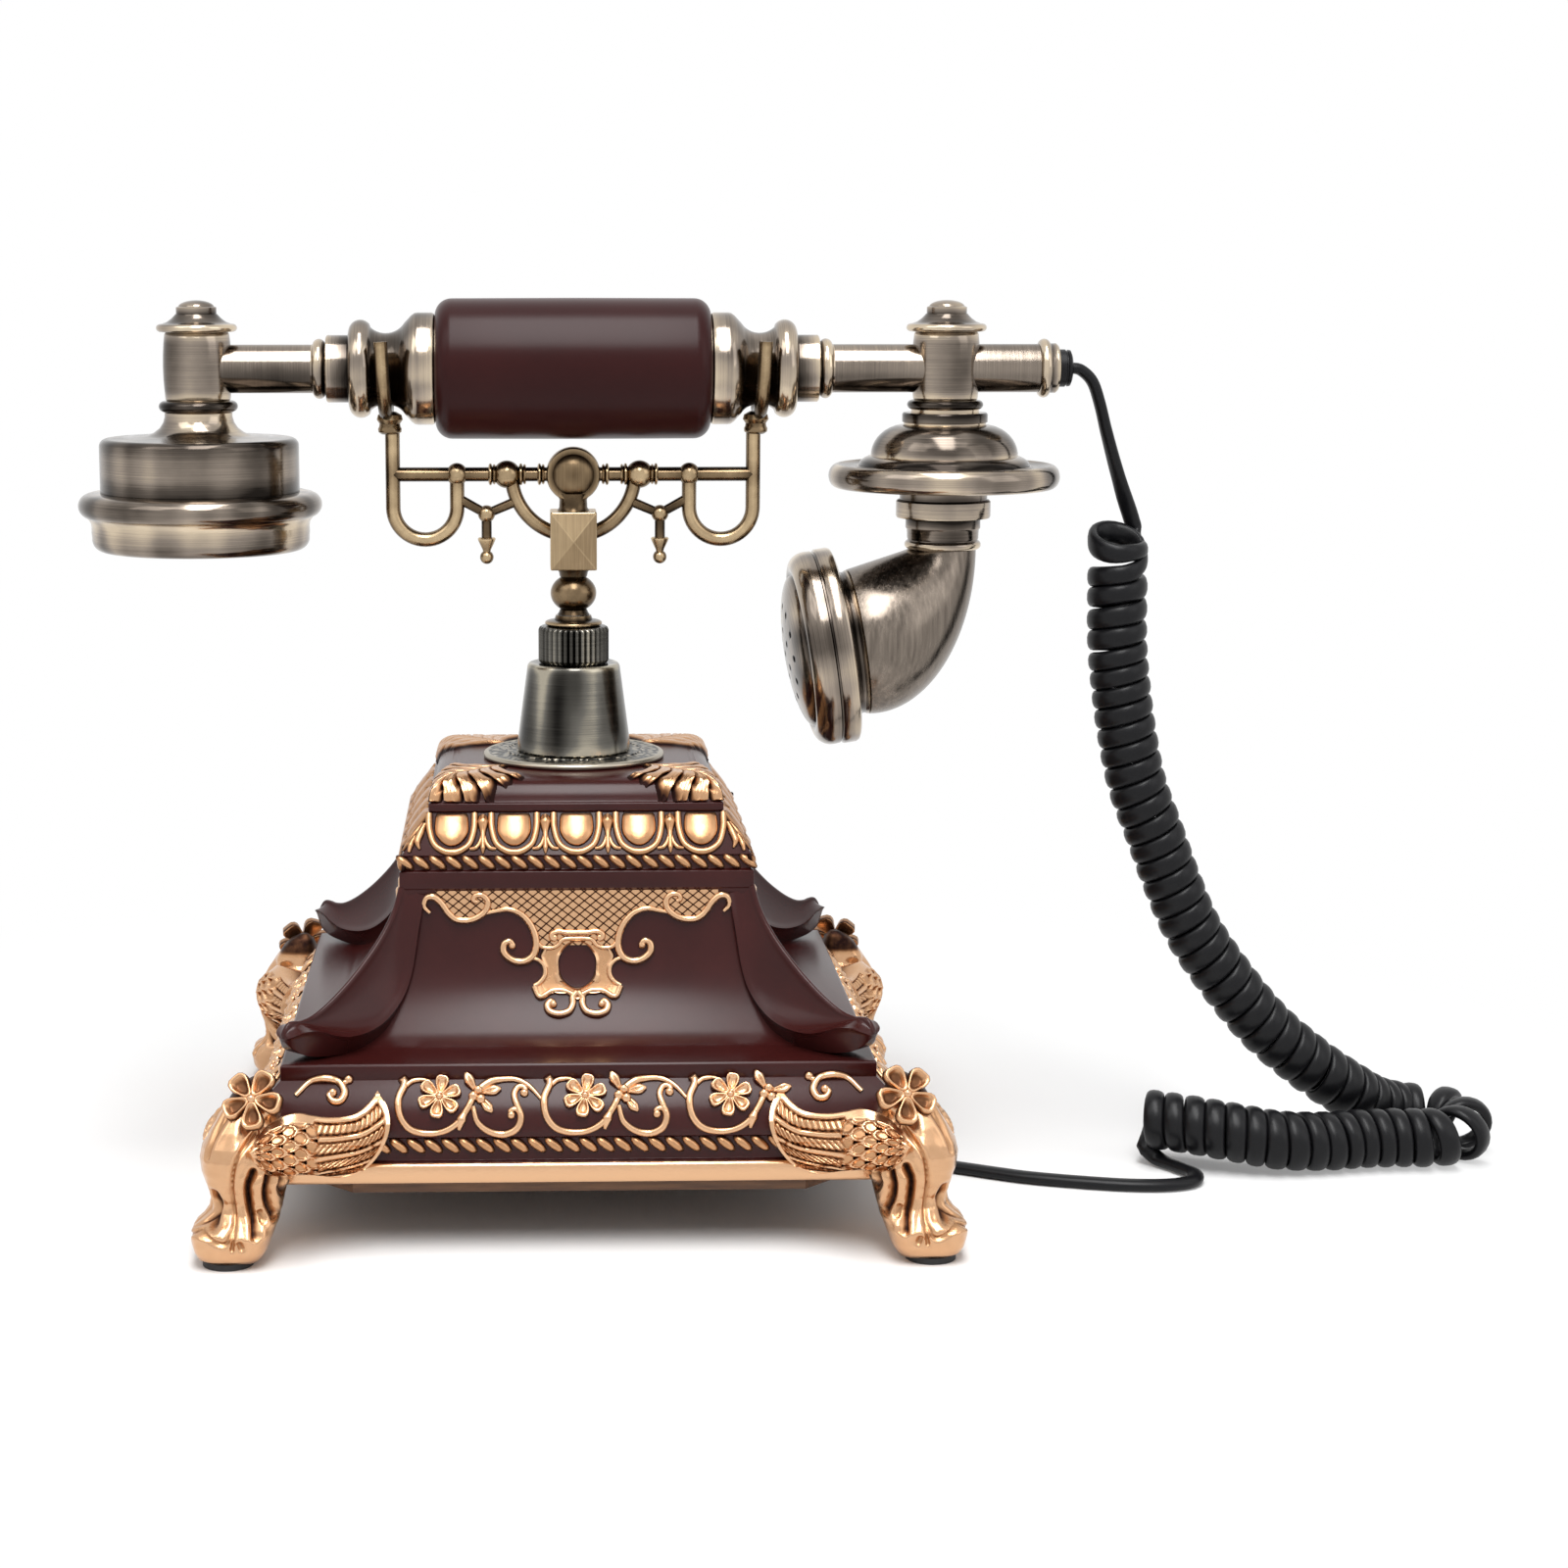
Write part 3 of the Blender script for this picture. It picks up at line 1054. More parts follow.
def scroll_place(u, v):
    """The maroon scroll on one corner: a thin ridge, hollow flanks that flare to a lip, and an upturned toe."""
    at_station = v * (len(SCROLL) - 1)
    here = np.stack([np.interp(at_station, np.arange(len(SCROLL)), column) for column in SCROLL.T])
    ridge, lip, lip_half, foot, foot_half = here[0:2], here[2:4], here[4], here[5:7], here[7]
    c = np.abs(2 * u - 1)
    edge = np.minimum(0.8, 0.4 * lip_half)
    reach = np.linalg.norm(lip - ridge, axis=0) + 1e-6
    round_over = np.clip(c / 0.16, 0, 1)
    flank = np.clip((c - 0.16) / 0.46, 0, 1)
    under = np.clip((c - 0.62) / 0.30, 0, 1)
    inside = np.clip((c - 0.92) / 0.08, 0, 1)
    start = np.minimum(edge / reach, 0.4)
    down = start * (1 - np.cos(round_over * TAU / 4)) + (1 - start) * flank
    out, z = ridge + (lip - ridge) * down + (foot - lip) * under
    half = edge * np.sin(round_over * TAU / 4) + (lip_half - edge) * flank ** 1.7
    half = half + 0.4 * np.exp(-((c - 0.61) / 0.04) ** 2) + (0.75 * foot_half - lip_half) * under
    side = np.sign(2 * u - 1) * half * (1 - inside) / math.sqrt(2)
    return np.stack([side - out, -side - out, z], 1), None


def make_scrolls():
    scroll = bent_grid("scroll", 100, len(SCROLL) - 1, scroll_place)
    parts = [copy_of(scroll, matrix) for matrix in CORNERS.values()]
    bpy.data.objects.remove(scroll)
    hand_over(join(parts), "corner_scrolls_carved", "base", "resin", RESIN, "corner_scrolls")


def on_top(x, y):
    """Height of the rounded top over a place in plan."""
    h = np.clip((np.maximum(np.abs(x), np.abs(y)) - 29.0) / 6.4, 0, 1)
    return 101.6 + 5.4 * np.sqrt(1 - h ** 2)


# Where the leaf's lobes end in plan, from the corner to its root
LEAF_TIPS = np.array([(-35.7, -36.0), (-29.4, -36.4), (-25.0, -36.5), (-20.8, -36.2), (-16.4, -34.2),
                      (-12.8, -32.4), (-11.4, -29.6)])


def leaf_place(u, v):
    """Half of the leaf over a top corner: a rib along the diagonal with lobes that sweep off it."""
    lobe = u * (len(LEAF_TIPS) - 1.55)
    off = 2 * np.abs(lobe - np.rint(lobe))
    rib = -(16.8 + 14.0 * (1 - u))
    tip = np.stack([np.interp(lobe, np.arange(len(LEAF_TIPS)), column) for column in LEAF_TIPS.T])
    tip = rib + (tip - rib) * (1 - 0.2 * off ** 4 - 0.03 * np.abs(np.sin(9 * lobe)))
    x, y = (1 - v) ** 2 * rib + 2 * v * (1 - v) * (rib - 4.2) + v ** 2 * tip
    z = on_top(x, y)
    groove = off ** 5 * np.clip(2.4 * v, 0.2, 1)
    hang = np.interp(v, [0, 0.2, 0.6, 0.9, 1], [0.7, 0.9, 1.0, 0.85, 0]) * np.clip((1 - u) / 0.03, 0, 1)
    eye = np.exp(-((off - 1) / 0.5) ** 2) * np.exp(-((v - 0.74) / 0.10) ** 2)
    vein = np.exp(-(off / 0.16) ** 2) * np.clip(v * 3, 0, 1)
    lift = hang * (1.8 - 1.25 * groove + 0.14 * v * np.cos(3 * TAU * lobe) - 0.3 * vein) - 0.7 * eye
    outward = np.stack([0.45 * x, 0.45 * y, z - 92.0], 1)
    outward /= np.linalg.norm(outward, axis=1)[:, None]
    return np.stack([x, y, z], 1) + outward * (lift - 0.1)[:, None], 0.56 * lift - 0.10


def make_leaves():
    half = bent_grid("leaf_half", 150, 40, leaf_place, False)
    leaf = join([half, copy_of(half, ACROSS)])
    for corner, matrix in CORNERS.items():
        hand_over(copy_of(leaf, matrix), f"corner_leaf_{corner}", *GILT)
    bpy.data.objects.remove(leaf)


make_legs()
make_scrolls()
make_leaves()


# Mast
def pierce(obj, foot, height, radius):
    """Sound holes in two rings around one in the middle."""
    drill_holes(obj, [(ring * math.cos(TAU * k / count), ring * math.sin(TAU * k / count), foot + height / 2)
                      for ring, count in ((0, 1), (6, 6), (12, 12)) for k in range(count)], radius, height, 16)
    smooth(obj, 34)


def turned(node, look, outline, at=HERE, steps=72, angle=32, rub=0.0, holes=None):
    """A turned piece for one solid; look is its body, slot and finish, holes the foot, height and radius
    of its sound holes."""
    piece = turn(outline, steps, angle, rub)
    if holes:
        pierce(piece, *holes)
    return hand_over(put(piece, at), f"{node}_turned", *look, node)


MAST_STEEL = ("base", "dark_steel", STEEL_Z)
# Shares of the way up the knurled nut, with the height and the radius there
NUT_SHARE = [0, 0.06, 0.12, 0.84, 0.90, 0.95, 1]
NUT_Z = [131.4, 131.5, 132.2, 139.9, 140.5, 140.9, 140.95]
NUT_R = [8.0, 8.6, 9.0, 9.0, 8.7, 8.0, 3.0]
NUT_TEETH, TOOTH_DEPTH = 36, 0.7


def nut_place(u, v):
    a = u * TAU
    wave = np.abs(np.sin(NUT_TEETH / 2 * a)) ** 0.8
    r = np.interp(v, NUT_SHARE, NUT_R) - TOOTH_DEPTH * slab(v, 0.04, 0.05, 0.93, 0.05) * (1 - wave)
    return np.stack([r * np.cos(a), r * np.sin(a), np.interp(v, NUT_SHARE, NUT_Z)], 1), 0.45 * wave


def make_mast():
    turned("mast_flange", ("base", "dark_steel", ENGRAVED),
           [(0, 107.02), (22.4, 107.02)] + bead(23.2, 107.8, 0.8, 0.8, -75, 75)
           + [(22.3, 108.7), (21.9, 108.55), (17.6, 108.75), (17.3, 109.05), (16.9, 108.8), (0, 108.9)],
           steps=128, angle=25)
    turned("mast_cone", MAST_STEEL,
           [(0, 109), (14.3, 109), (14.5, 109.3), (14.3, 112)]
           + [(14.3 - 2.35 * k / 6, 112 + 17.6 * k / 6) for k in range(1, 7)]
           + arc((11.0, 129.9), 0.9, 1.5, 5, 85, 6) + [(9.6, 131.35), (0, 131.35)],
           steps=128, angle=28, rub=-0.1)
    nut = bent_grid("nut", 361, 30, nut_place, angle=50)
    hand_over(nut, "knurled_nut_cut", *MAST_STEEL, "knurled_nut")
    turned("collar_washer", ("base", "old_brass", BRASS_CAST),
           [(0, 140.95), (6.4, 140.95)] + bead(7.3, 141.6, 0.9, 0.6, -80, 60, 6)
           + [(6.4, 142.25), (4.9, 142.45), (4.5, 143.6), (0, 143.6)], rub=-0.25)


# Cradle
BAR_Z, POST_X, LOOP_Z, LOOP_R, FORK_X, FORK_R = 179.4, 45.6, 171.0, 8.1, 47.0, 11.25
POST_TOP, FORK_FOOT_X, PRONG, FORK_LEAN = 191.2, 46.2, 7.0, 0.045
KNOT = (22, 0, 169.4)
CRADLE_BRASS = ("cradle", "old_brass", BRASS_CAST)


def joint_shade(obj, joints, base, depth, reach):
    """Dark wax left where two rods meet, rubbed bright towards the front, the back and the top."""
    co = places(obj)
    tone = np.full(len(co), base)
    for p in joints:
        tone -= depth * np.exp(-(np.linalg.norm(co - p, axis=1) / reach) ** 2)
    normals = np.zeros(len(co) * 3)
    obj.data.vertex_normals.foreach_get("vector", normals)
    n = normals.reshape(-1, 3)
    set_tone(obj, tone + 0.58 * n[:, 1] ** 2 + 0.06 * n[:, 2] - 0.40)


def cradle_rods():
    inner = POST_X - 2 * LOOP_R
    joints = [(POST_X, 0, BAR_Z), (inner, 0, BAR_Z), (15.6, 0, BAR_Z), (5.8, 0, 165.0), KNOT]
    post = [(POST_X, 0, POST_TOP - (POST_TOP - LOOP_Z) * k / 10) for k in range(11)]
    post += [(x, 0, z) for x, z in arc((POST_X - LOOP_R, LOOP_Z), LOOP_R, LOOP_R, -6, -174, 24)]
    post += [(inner, 0, LOOP_Z + 8.0 * k / 5) for k in range(6)]
    bar = [(x, 0, BAR_Z) for x in np.linspace(0, POST_X, 30)]
    brace = [(x, 0, z) for x, z in arc((0, BAR_Z), 15.6, 15.6, 0, -76, 26)]
    rods = []
    # path, radius, roundness and tone: the uprights are handled more and rubbed brighter than the bar
    for path, radius, sides, base in (
            (post, 1.85, 4, 0.74), (bar, 1.8, 4, 0.42), (brace, 1.8, 4, 0.60),
            ([(inner - 0.9, 0, 173.0), KNOT], (1.3, 1.2), 3, 0.55),
            ([(14.4, 0, 172.6), KNOT], (1.3, 1.2), 3, 0.55), ([KNOT, (22, 0, 163.0)], 1.3, 3, 0.55)):
        rods.append(rod(path, radius, sides))
        joint_shade(rods[-1], joints, base, 0.30, 3.0)
    beads = [ball((inner, 0, BAR_Z), (2.75, 2.75, 2.9), 24, 16),
             ball((16.8, 0, BAR_Z), (3.5, 3.5, 3.5), 28, 18),
             ball(KNOT, (2.2, 2.2, 2.2), 18, 12), ball((22, 0, 158.4), (1.75, 1.75, 1.75), 18, 12)]
    for b in beads:
        y = places(b)[:, 1]
        set_tone(b, 0.20 + 0.62 * np.abs(y - y.mean()) / (np.ptp(y) / 2))
    return rods + beads


def cradle_half():
    """The rods and beads to the right of the mast."""
    ring = ([(1.4, -1.0)] + arc((1.9, -0.6), 0.7, 0.4, -90, 90, 4) + [(2.0, -0.1)]
            + arc((1.9, 0.35), 0.9, 0.5, -80, 80, 5) + [(1.4, 1.0)])
    parts = cradle_rods()
    parts += [put(turn(ring, 40, 40), shift(x, 0, BAR_Z) @ spun(90, "Y")) for x in (8.2, 12.9, 20.6)]
    cup = turn([(0, 159.4), (0.9, 159.6), (1.1, 160.4), (2.1, 162.5), (2.3, 163.1), (2.0, 163.4),
                (0, 163.4)], 32)
    return join(parts + [put(cup, shift(22, 0, 0))])


def cradle_block():
    """The square block under the boss, with its front and back drawn out to a low point."""
    half, tall, mid = 5.85, 7.35, 162.85
    piece = block((2 * half, 2 * half, 2 * tall), (0, 0, 0))
    edit(piece)
    bpy.ops.mesh.poke(offset=0)
    leave()
    reshape(piece, lambda p: np.where(np.abs(p[:, 0:1]) + np.abs(p[:, 2:3]) < 0.01, p * (1, 1.24, 1), p))
    put(piece, shift(0, 0, mid))
    soften_edges(piece, 0.3, 2, 12)
    x, _, z = places(piece).T
    sideways, upward = x / half, (z - mid) / tall
    edge = np.minimum.reduce([np.abs(np.abs(x) - half), np.abs(np.abs(z - mid) - tall),
                              np.abs(np.abs(sideways) - np.abs(upward)) * 4])
    facet = np.where(np.abs(upward) > np.abs(sideways), 0.05 * np.sign(upward), -0.04 * np.sign(sideways))
    set_tone(piece, 0.38 + facet + 0.45 * np.exp(-(edge / 0.5) ** 2))
    return piece


def make_fork(name, side):
    path = [(-FORK_R, HANDSET_Z + PRONG - PRONG * k / 6) for k in range(6)]
    path += arc((0, HANDSET_Z), FORK_R, FORK_R, 180, 360, 36)
    path += [(FORK_R, HANDSET_Z + PRONG * k / 6) for k in range(1, 7)]
    ring = rod([(side * (FORK_X + FORK_LEAN * (z - HANDSET_Z + FORK_R)), y, z) for y, z in path], 1.75, 5)
    joint_shade(ring, [(side * FORK_X, 0, HANDSET_Z - FORK_R)], 0.62, 0.35, 3.5)
    foot = turn([(0, 189.55), (2.1, 189.55), (2.9, 190.1), (3.0, 190.9), (2.7, 191.5), (2.6, 192.2),
                 (3.3, 193.2), (3.0, 194.4), (1.6, 195.2), (0, 195.4)], 36, 40)
    x, y, _ = places(foot).T
    set_tone(foot, 0.25 + 0.4 * np.clip(np.hypot(x, y) - 2.2, 0, 1))
    put(foot, shift(side * FORK_FOOT_X, 0, 0))
    hand_over(join([ring, foot]), f"fork_{name}_cast", *CRADLE_BRASS, f"fork_{name}")


def make_cradle():
    right = cradle_half()
    neck = turn([(0, 143.8), (4.1, 143.8), (3.7, 144.4), (3.5, 145.0)] + arc((0, 149.2), 5.85, 4.9, -56, 56, 14)
                + [(3.5, 153.6), (3.7, 154.6), (4.4, 155.6), (0, 155.6)], 48, 40)
    set_tone(neck, 0.16 + 0.40 * np.exp(-((places(neck)[:, 2] - 149.2) / 3.0) ** 2))
    upper = turn([(0, 170.0), (4.3, 170.0), (3.6, 171.0), (3.5, 173), (4.2, 174.6), (0, 174.6)], 48, 40)
    set_tone(upper, 0.3)
    cast = join([right, copy_of(right, MIRROR_X), neck, upper])
    hand_over(cast, "cradle_cast", *CRADLE_BRASS, "cradle_frame")
    half = [(0, 4.7), (2.6, 4.5), (4.4, 3.7), (5.2, 2.75), (5.7, 2.9), (6.5, 2.8), (6.85, 2.1)]
    boss = turn([(r, -z) for r, z in half] + half[::-1], 56, 40, -0.12)
    put(boss, shift(0, 0, BAR_Z) @ spun(90, "X"))
    hand_over(join([boss, cradle_block()]), "cradle_boss", "cradle", "old_brass", BRASS_BRUSHED)
    make_fork("left", -1)
    make_fork("right", 1)


# Handset
ARM = shift(0, 0, HANDSET_Z) @ spun(90, "Y")
UPRIGHT_X, GRIP_HALF, ARM_START = 94.2, 34.6, 57.1
AT_EAR, AT_MOUTH = shift(-UPRIGHT_X, 0, 0), shift(UPRIGHT_X, 0, 0)
ARM_BRONZE, POST_BRONZE = ("handset", "bronze", BRONZE_X), ("handset", "bronze", BRONZE_Z)


def make_handset():
    corner = GRIP_HALF - 4.2
    grip = turn([(0, -GRIP_HALF), (10, -GRIP_HALF)] + arc((13.3, -corner), 4.2, 4.2, -90, 0)
                + [(17.55, -GRIP_HALF / 2), (17.6, 0), (17.55, GRIP_HALF / 2)]
                + arc((13.3, corner), 4.2, 4.2, 0, 90) + [(10, GRIP_HALF), (0, GRIP_HALF)], 128, 40)
    hand_over(put(grip, ARM), "grip_turned", "handset", "resin", GRIP_RESIN, "handset_grip")

    collar = turn([(0, 34.7), (13.2, 34.7), (13.8, 34.9), (14.0, 35.4), (14.0, 38.9), (13.9, 39.7),
                   (13.3, 40.6), (12.3, 41.5)] + arc((14.5, 47.0), 5.6, 5.6, 238, 138, 14)
                  + arc((9.35, 53.3), 2.9, 2.95, -50, 82, 14)
                  + [(9.3, 56.3), (8.4, 56.5), (8.4, 61.6), (8.1, 61.9), (7.0, 62.0)]
                  + arc((5.95, 63.7), 1.55, 1.6, -70, 80) + [(6.0, 65.7), (0, 65.7)], 96, 36)
    put(collar, ARM)
    hand_over(join([collar, copy_of(collar, MIRROR_X)]), "collars_turned", *ARM_BRONZE, "grip_collars")

    for name, end, flip in (("left", 95.2, MIRROR_X), ("right", 117.5, HERE)):
        tube = turned(f"arm_{name}", ARM_BRONZE, [(0, ARM_START)] + [
            (6.05, ARM_START + (end - ARM_START) * k / 8) for k in range(9)] + [(0, end)], flip @ ARM, angle=40)
        set_tone(tube, 0.5)

    barrel = [(0, 198.05), (7.9, 198.05), (8.15, 198.4), (8.35, 200.6), (8.55, 203.4), (8.62, 206.4),
              (8.55, 209.4), (8.35, 212.4), (8.1, 214.6), (7.8, 214.95), (0, 214.95)]
    finial = ([(0, 213), (2.5, 213), (2.5, 215.02), (8.2, 215.02), (9.0, 215.1)]
              + bead(10.1, 216.1, 1.1, 1.0, -75, 80)
              + [(8.6, 217.15), (7.4, 217.6), (6.3, 218.4), (5.4, 219.3), (5.3, 219.5), (5.05, 219.6),
                 (5.05, 221.2), (4.6, 221.4)] + arc((0, 221.2), 4.5, 1.75, 8, 90, 8))
    finials = []
    for name, at in (("ear", AT_EAR), ("mouth", AT_MOUTH)):
        turned(f"{name}_post", POST_BRONZE, barrel, at, angle=36)
        finials.append(put(turn(finial, 64, 36), at))
    hand_over(join(finials), "finials_turned", *POST_BRONZE, "finials")

    turned("ear_cup", POST_BRONZE,
           [(0, 198), (8.4, 198)] + bead(9.9, 196.6, 1.5, 1.4, 75, -75, 10)
           + [(8.5, 195.0), (8.5, 194.0), (8.9, 192.6), (9.8, 191.2), (11.4, 190.0), (13.0, 189.4),
              (14.2, 189.2), (18.5, 189.05), (22.4, 188.7)] + arc((23.0, 186.7), 2.0, 2.0, 90, 4, 8)
           + [(25.0, 184), (25.0, 180), (25.0, 175.25), (22.5, 175.25), (0, 176)], AT_EAR, 128, 34)
    turned("ear_cap", POST_BRONZE,
           [(0, 175.2), (25.3, 175.2), (27.0, 175.15)] + bead(30.6, 171.9, 3.2, 3.1, 82, -70, 14)
           + [(28.0, 168.4), (27.5, 167.6), (27.35, 166.6), (27.4, 165.2), (27.3, 164.0)]
           + arc((24.4, 163.5), 2.9, 2.95, 0, -84)
           + [(23.6, 160.5), (22.4, 160.65), (12, 161.4), (0, 161.7)], AT_EAR, 128, 36, 0.14, (158.4, 6, 1.0))
    turned("mouth_dome", POST_BRONZE,
           [(0, 198), (8.4, 198)] + bead(9.6, 196.8, 1.2, 1.15, 75, -80)
           + [(8.6, 195.4), (8.6, 194.9), (10.5, 194.8), (10.8, 194.4), (10.8, 192.5), (10.4, 192.3),
              (10.4, 191.9)]
           + arc((9.8, 183.9), 8.8, 7.9, 84, 0, 14)
           + [(19.2, 183.8), (20.2, 183.3), (21.2, 182.6), (21.7, 181.55), (0, 181.55)], AT_MOUTH, 128, 34)
    turned("mouth_plate", POST_BRONZE,
           [(0, 176.5), (26.0, 176.5)] + bead(29.25, 178.8, 2.3, 3.0, -80, 84, 12)
           + [(26.6, 181.5), (25.4, 181.1), (22.4, 181.0), (21.9, 181.5), (0, 181.5)], AT_MOUTH, 128, 34, -0.1)
    turned("mouth_neck", POST_BRONZE,
           [(0, 160.25), (8.8, 160.25)] + bead(9.7, 161.4, 1.0, 1.1, -70, 75)
           + [(8.9, 162.7), (9.05, 163.1), (9.15, 165.2), (9.5, 165.7), (9.5, 167.8), (10.1, 168.1),
              (11.8, 168.3), (12.0, 168.8), (12.0, 172.4), (11.6, 172.8), (11.1, 172.9), (11.1, 176.45),
              (0, 176.45)],
           AT_MOUTH, 96, 34)


HORN_TURN, HORN_DIP, HORN_REACH, HORN_FALL, HORN_START, HORN_END = 1.0, 9.0, 21.3, 23.7, 8.5, 18.7
AT_HORN = AT_MOUTH @ spun(HORN_TURN, "Z") @ shift(0, 0, 160.2)
AT_CAP = AT_HORN @ shift(-HORN_REACH, 0, -HORN_FALL) @ spun(-90 - HORN_DIP, "Y")


def horn_place(u, v):
    """The horn bends from the neck to the cap: straight along the inside and round along the outside."""
    dip = math.radians(HORN_DIP)
    end = np.array([-HORN_REACH, -HORN_FALL])
    across = HORN_END * np.array([math.sin(dip), -math.cos(dip)])
    inner, outer = end - across, end + across
    start = np.array([-HORN_START, 0])
    inside = start + np.outer(v, inner - start)
    bend = v * TAU / 4
    outside = np.stack([outer[0] + (HORN_START - outer[0]) * np.cos(bend), outer[1] * np.sin(bend)], 1)
    middle, reach = (inside + outside) / 2, (outside - inside) / 2
    c, s = np.cos(u * TAU), np.sin(u * TAU)
    side = np.linalg.norm(reach, axis=1) * s
    return np.stack([middle[:, 0] + reach[:, 0] * c, side, middle[:, 1] + reach[:, 1] * c], 1), 0.5


def make_mouthpiece():
    horn = put(bent_grid("horn", 97, 40, horn_place, angle=40), AT_HORN)
    hand_over(horn, "mouth_horn_bent", "handset", "bronze", BRONZE_SOFT, "mouth_horn")
    turned("mouth_cap", ("handset", "bronze", BRONZE_CAP),
           [(0, 0.1), (18.3, 0.1), (18.6, 0.5), (18.2, 1.3), (18.3, 2.0), (19.2, 2.9), (20.6, 3.4), (24.0, 3.6),
            (24.8, 4.0), (25.1, 4.7), (25.1, 7.6), (24.9, 8.0), (24.4, 8.1), (24.4, 8.5), (24.8, 8.8)]
           + arc((21.0, 10.4), 3.9, 4.4, -6, 84, 12) + [(20.4, 14.7), (19.8, 14.4)]
           + arc((0, 14.2), 19.6, 4.7, 4, 90, 14), AT_CAP, 128, holes=(13, 8, 0.85))
    turned("cord_boss", ARM_BRONZE,
           [(0, 117.5), (5.8, 117.5)] + bead(7.4, 119.0, 1.4, 1.4, -75, 75)
           + [(6.2, 120.6), (6.25, 121.9), (5.8, 122.45), (0, 122.45)], ARM, angle=36)
    turned("cord_bush", ("handset", "rubber", RUBBER),
           [(0, 122.5), (4.4, 122.5), (4.7, 122.8), (4.7, 124.3), (4.3, 124.5), (4.3, 124.8), (4.6, 125.0),
            (4.5, 125.6), (3.6, 126), (0, 126)], ARM, 48, 36)


# Dial
AT_DIAL = shift(0, 56, 63) @ spun(-56, "X")
FIRST_HOLE, HOLE_STEP, HOLE_RING, HOLE_R = 50, 30, 23, 5.0
DIGITS = "1234567890"
DIAL_BRASS = ("dial", "old_brass", BRASS_CAST)


def on_dial(angle, r, w):
    a = math.radians(angle)
    return (-r * math.cos(a), -r * math.sin(a), w)


def hole_places(w):
    """The middles of the ten finger holes, at a height w over the drum's foot."""
    return [on_dial(FIRST_HOLE + HOLE_STEP * k, HOLE_RING, w) for k in range(len(DIGITS))]


def make_digits():
    digits = []
    for digit, place in zip(DIGITS, hole_places(10.53)):
        deselect()
        bpy.ops.object.text_add()
        text = bpy.context.object.data
        text.body = digit
        text.size = 6.4 * MM
        text.align_x = "CENTER"
        text.align_y = "CENTER"
        text.extrude = 0.04 * MM
        bpy.ops.object.convert(target="MESH")
        digits.append(put(bpy.context.object, AT_DIAL @ shift(*place) @ spun(180, "Z")))
    hand_over(join(digits), "dial_digits", "base", "rubber", BLACK)


def make_dial():
    drum = turn([(33.0, -30), (33.0, 8), (33.6, 8.4), (34.0, 9.2), (33.6, 10.0), (33.1, 10.4), (33.1, 11.8)]
                + arc((32.2, 12.0), 0.9, 1.0, 0, 90, 6)
                + [(31.4, 13), (31.0, 12.6), (31.0, 4), (0, 4), (0, -30)], 128, 34)
    put(drum, AT_DIAL)
    # the drum ends inside the shell
    cut(drum, block((400, 400, 57.6), (0, 0, 0)))
    hand_over(drum, "dial_drum_turned", "base", "dark_steel", STEEL_PLAIN, "dial_housing")
    turned("number_plate", ("base", "enamel", ENAMEL),
           [(0, 8.5), (30.9, 8.5), (30.9, 10.4), (30.8, 10.5), (0, 10.5)], AT_DIAL, 96)
    make_digits()
    wheel = turn([(0, 14.0), (29.2, 14.0), (29.8, 14.25), (30.0, 14.8), (29.9, 15.4), (29.4, 15.9),
                  (28.6, 16.0), (28.0, 15.85), (0, 15.85)], 128, 40)
    drill_holes(wheel, hole_places(15), HOLE_R, 6, 48)
    soften_edges(wheel, 0.35, 2, 50)
    set_tone(wheel, 0.5 + 0.2 * (places(wheel)[:, 2] > 15.5))
    smooth(wheel, 35)
    hand_over(put(wheel, AT_DIAL), "finger_wheel_cut", *DIAL_BRASS, "finger_wheel")
    turned("dial_cap", DIAL_BRASS,
           [(0, 15.9), (12.9, 15.9), (13.0, 16.3), (12.9, 16.8), (12.2, 17.0), (11.4, 16.9), (10.8, 17.1),
            (8, 17.9), (4, 18.45), (0, 18.6)], AT_DIAL, angle=36)
    path = flow([on_dial(*place) for place in ((-10, 32.4, 13.2), (-10, 32.6, 15.2), (-10, 32.2, 17.0),
                                               (-10, 30.5, 17.7), (-10, 27, 17.8), (-9.4, 23.6, 17.7))])
    stop = rod(path, np.interp(np.linspace(0, 1, len(path)), [0, 0.5, 1], [1.0, 0.95, 0.7]), 4)
    hand_over(put(stop, AT_DIAL), "finger_stop_bent", "base", "steel", IRON, "finger_stop")


# Feet, board and works, whose solids are shown as they are
NODE_FINISHES = {
    "foot_pads": PAD, "bottom_board": WOOD, "bottom_screws": IRON, "line_socket": BLACK, "cord_gland": RUBBER,
    "stem_bush": BRASS_CAST, "mast_nut": IRON, "circuit_board": WORKS, "inner_pillars": IRON,
    "ringer_gongs": IRON, "ringer_frame": IRON, "ringer_coils": WORKS, "hammer": IRON, "hook_switch": WORKS,
    "hook_lever": IRON, "hook_spring": IRON, "dial_spring": IRON, "dial_shaft": IRON, "cradle_stem": IRON,
    "tie_rod": IRON, "receiver_capsule": WORKS, "mouth_capsule": WORKS}


def paint_nodes():
    for name, material in NODE_FINISHES.items():
        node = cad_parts[name]
        node.data.materials.clear()
        node.data.materials.append(material)
        smooth(node, 35)


make_mast()
make_cradle()
make_handset()
make_mouthpiece()
make_dial()
paint_nodes()

# Floor and light
WHITE = (1, 1, 1, 1)


def background_rays(tree):
    """1 for the rays that see the background, straight or in metal and glass."""
    rays = add(tree, "LightPath", {})
    seen = maths(tree, "MAXIMUM", rays["Is Camera Ray"], rays["Is Glossy Ray"])
    return maths(tree, "MAXIMUM", seen, rays["Is Transmission Ray"])


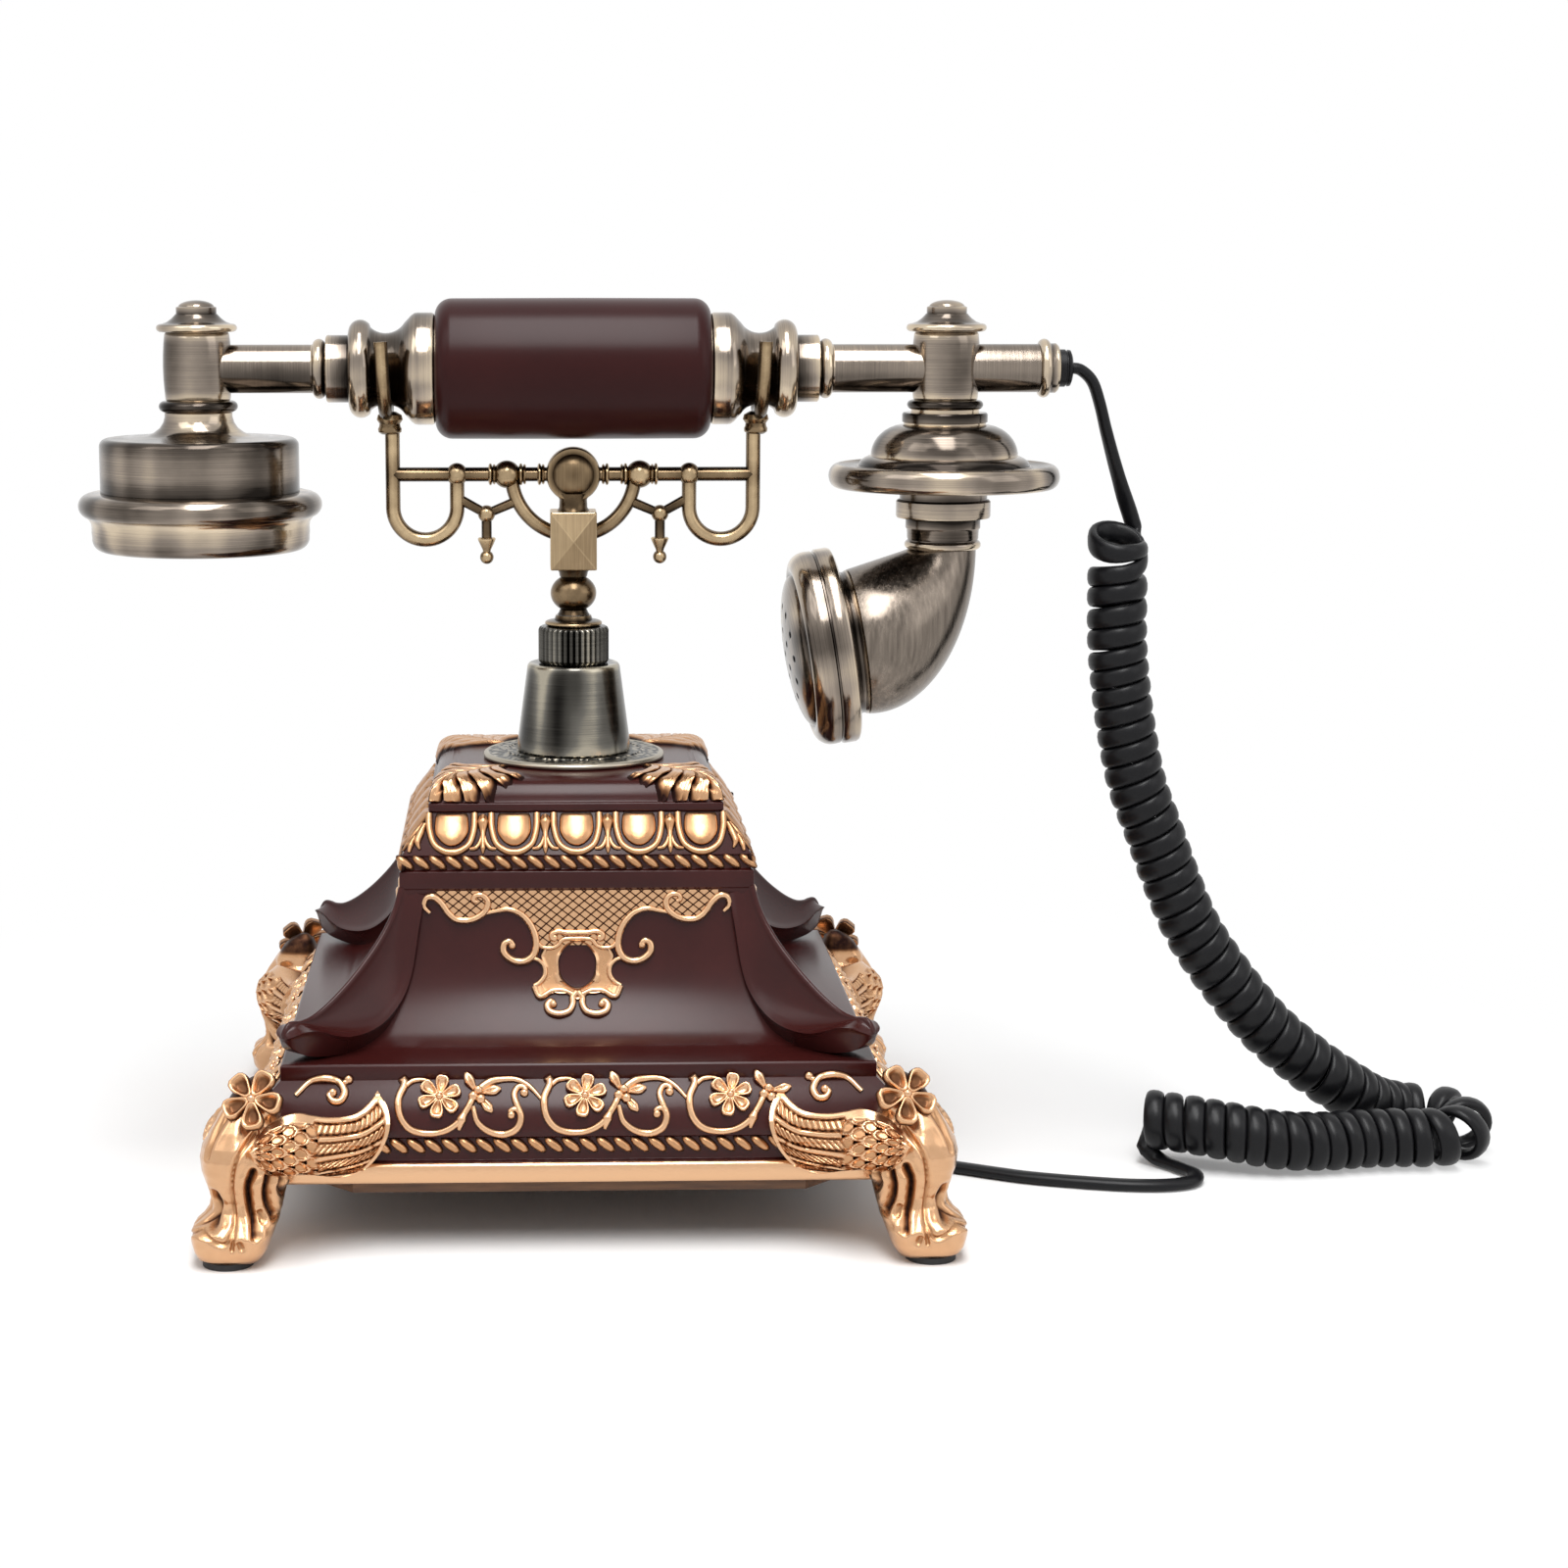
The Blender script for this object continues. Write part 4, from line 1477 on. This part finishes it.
def mixed(tree, share, first, second):
    return add(tree, "MixShader", {0: share, 1: first, 2: second})[0]


def white_floor():
    """Pale near the telephone, where shadows fall, and white paper further out."""
    mat, tree, shader = finish_node("pale_floor", {"Base Color": (0.9, 0.9, 0.9, 1), "Roughness": 0.9,
                                                   "Specular IOR Level": 0.1})
    away = add(tree, "VectorMath", {0: add(tree, "TexCoord", {})["Object"]}, operation="LENGTH")["Value"]
    fade = rise(tree, away, 0.11, 0.34, interpolation_type="SMOOTHSTEP")
    far = maths(tree, "MULTIPLY", fade, background_rays(tree))
    paper = add(tree, "Emission", {"Color": WHITE, "Strength": 1.0})[0]
    set_inputs(tree.nodes["Material Output"], {"Surface": mixed(tree, far, shader.outputs[0], paper)})
    return mat


deselect()
bpy.ops.mesh.primitive_plane_add(size=8, location=(0, 0, 0))
floor = bpy.context.object
floor.name = "floor"
floor.data.materials.append(white_floor())

scene = bpy.context.scene
scene.view_settings.view_transform = "Standard"
world = bpy.data.worlds.new("studio")
scene.world = world
world.use_nodes = True
sky = world.node_tree
sky.nodes.clear()
room = add(sky, "Background", {"Color": WHITE, "Strength": 0.40})[0]
white = add(sky, "Background", {"Color": WHITE, "Strength": 1.0})[0]
add(sky, "OutputWorld", {0: mixed(sky, background_rays(sky), room, white)})

for name, place, aim, width, height, power in (
        ("key", (-1.0, -0.7, 1.4), (0, 0, 0.1), 0.9, 0.9, 4),
        ("fill", (1.3, -0.8, 0.9), (0, 0, 0.1), 0.9, 1.2, 3),
        ("soft", (0, -1.0, 1.9), (0, 0, 0.1), 2.0, 0.8, 5),
        ("front", (0.03, -0.8, 1.98), (0.03, 0, 0.1), 0.7, 2.0, 42)):
    deselect()
    bpy.ops.object.light_add(type="AREA", location=place)
    lamp = bpy.context.object
    lamp.name = name
    lamp.data.shape = "RECTANGLE"
    lamp.data.size = width
    lamp.data.size_y = height
    lamp.data.energy = power
    lamp.rotation_euler = (Vector(aim) - Vector(place)).to_track_quat("-Z", "Y").to_euler()
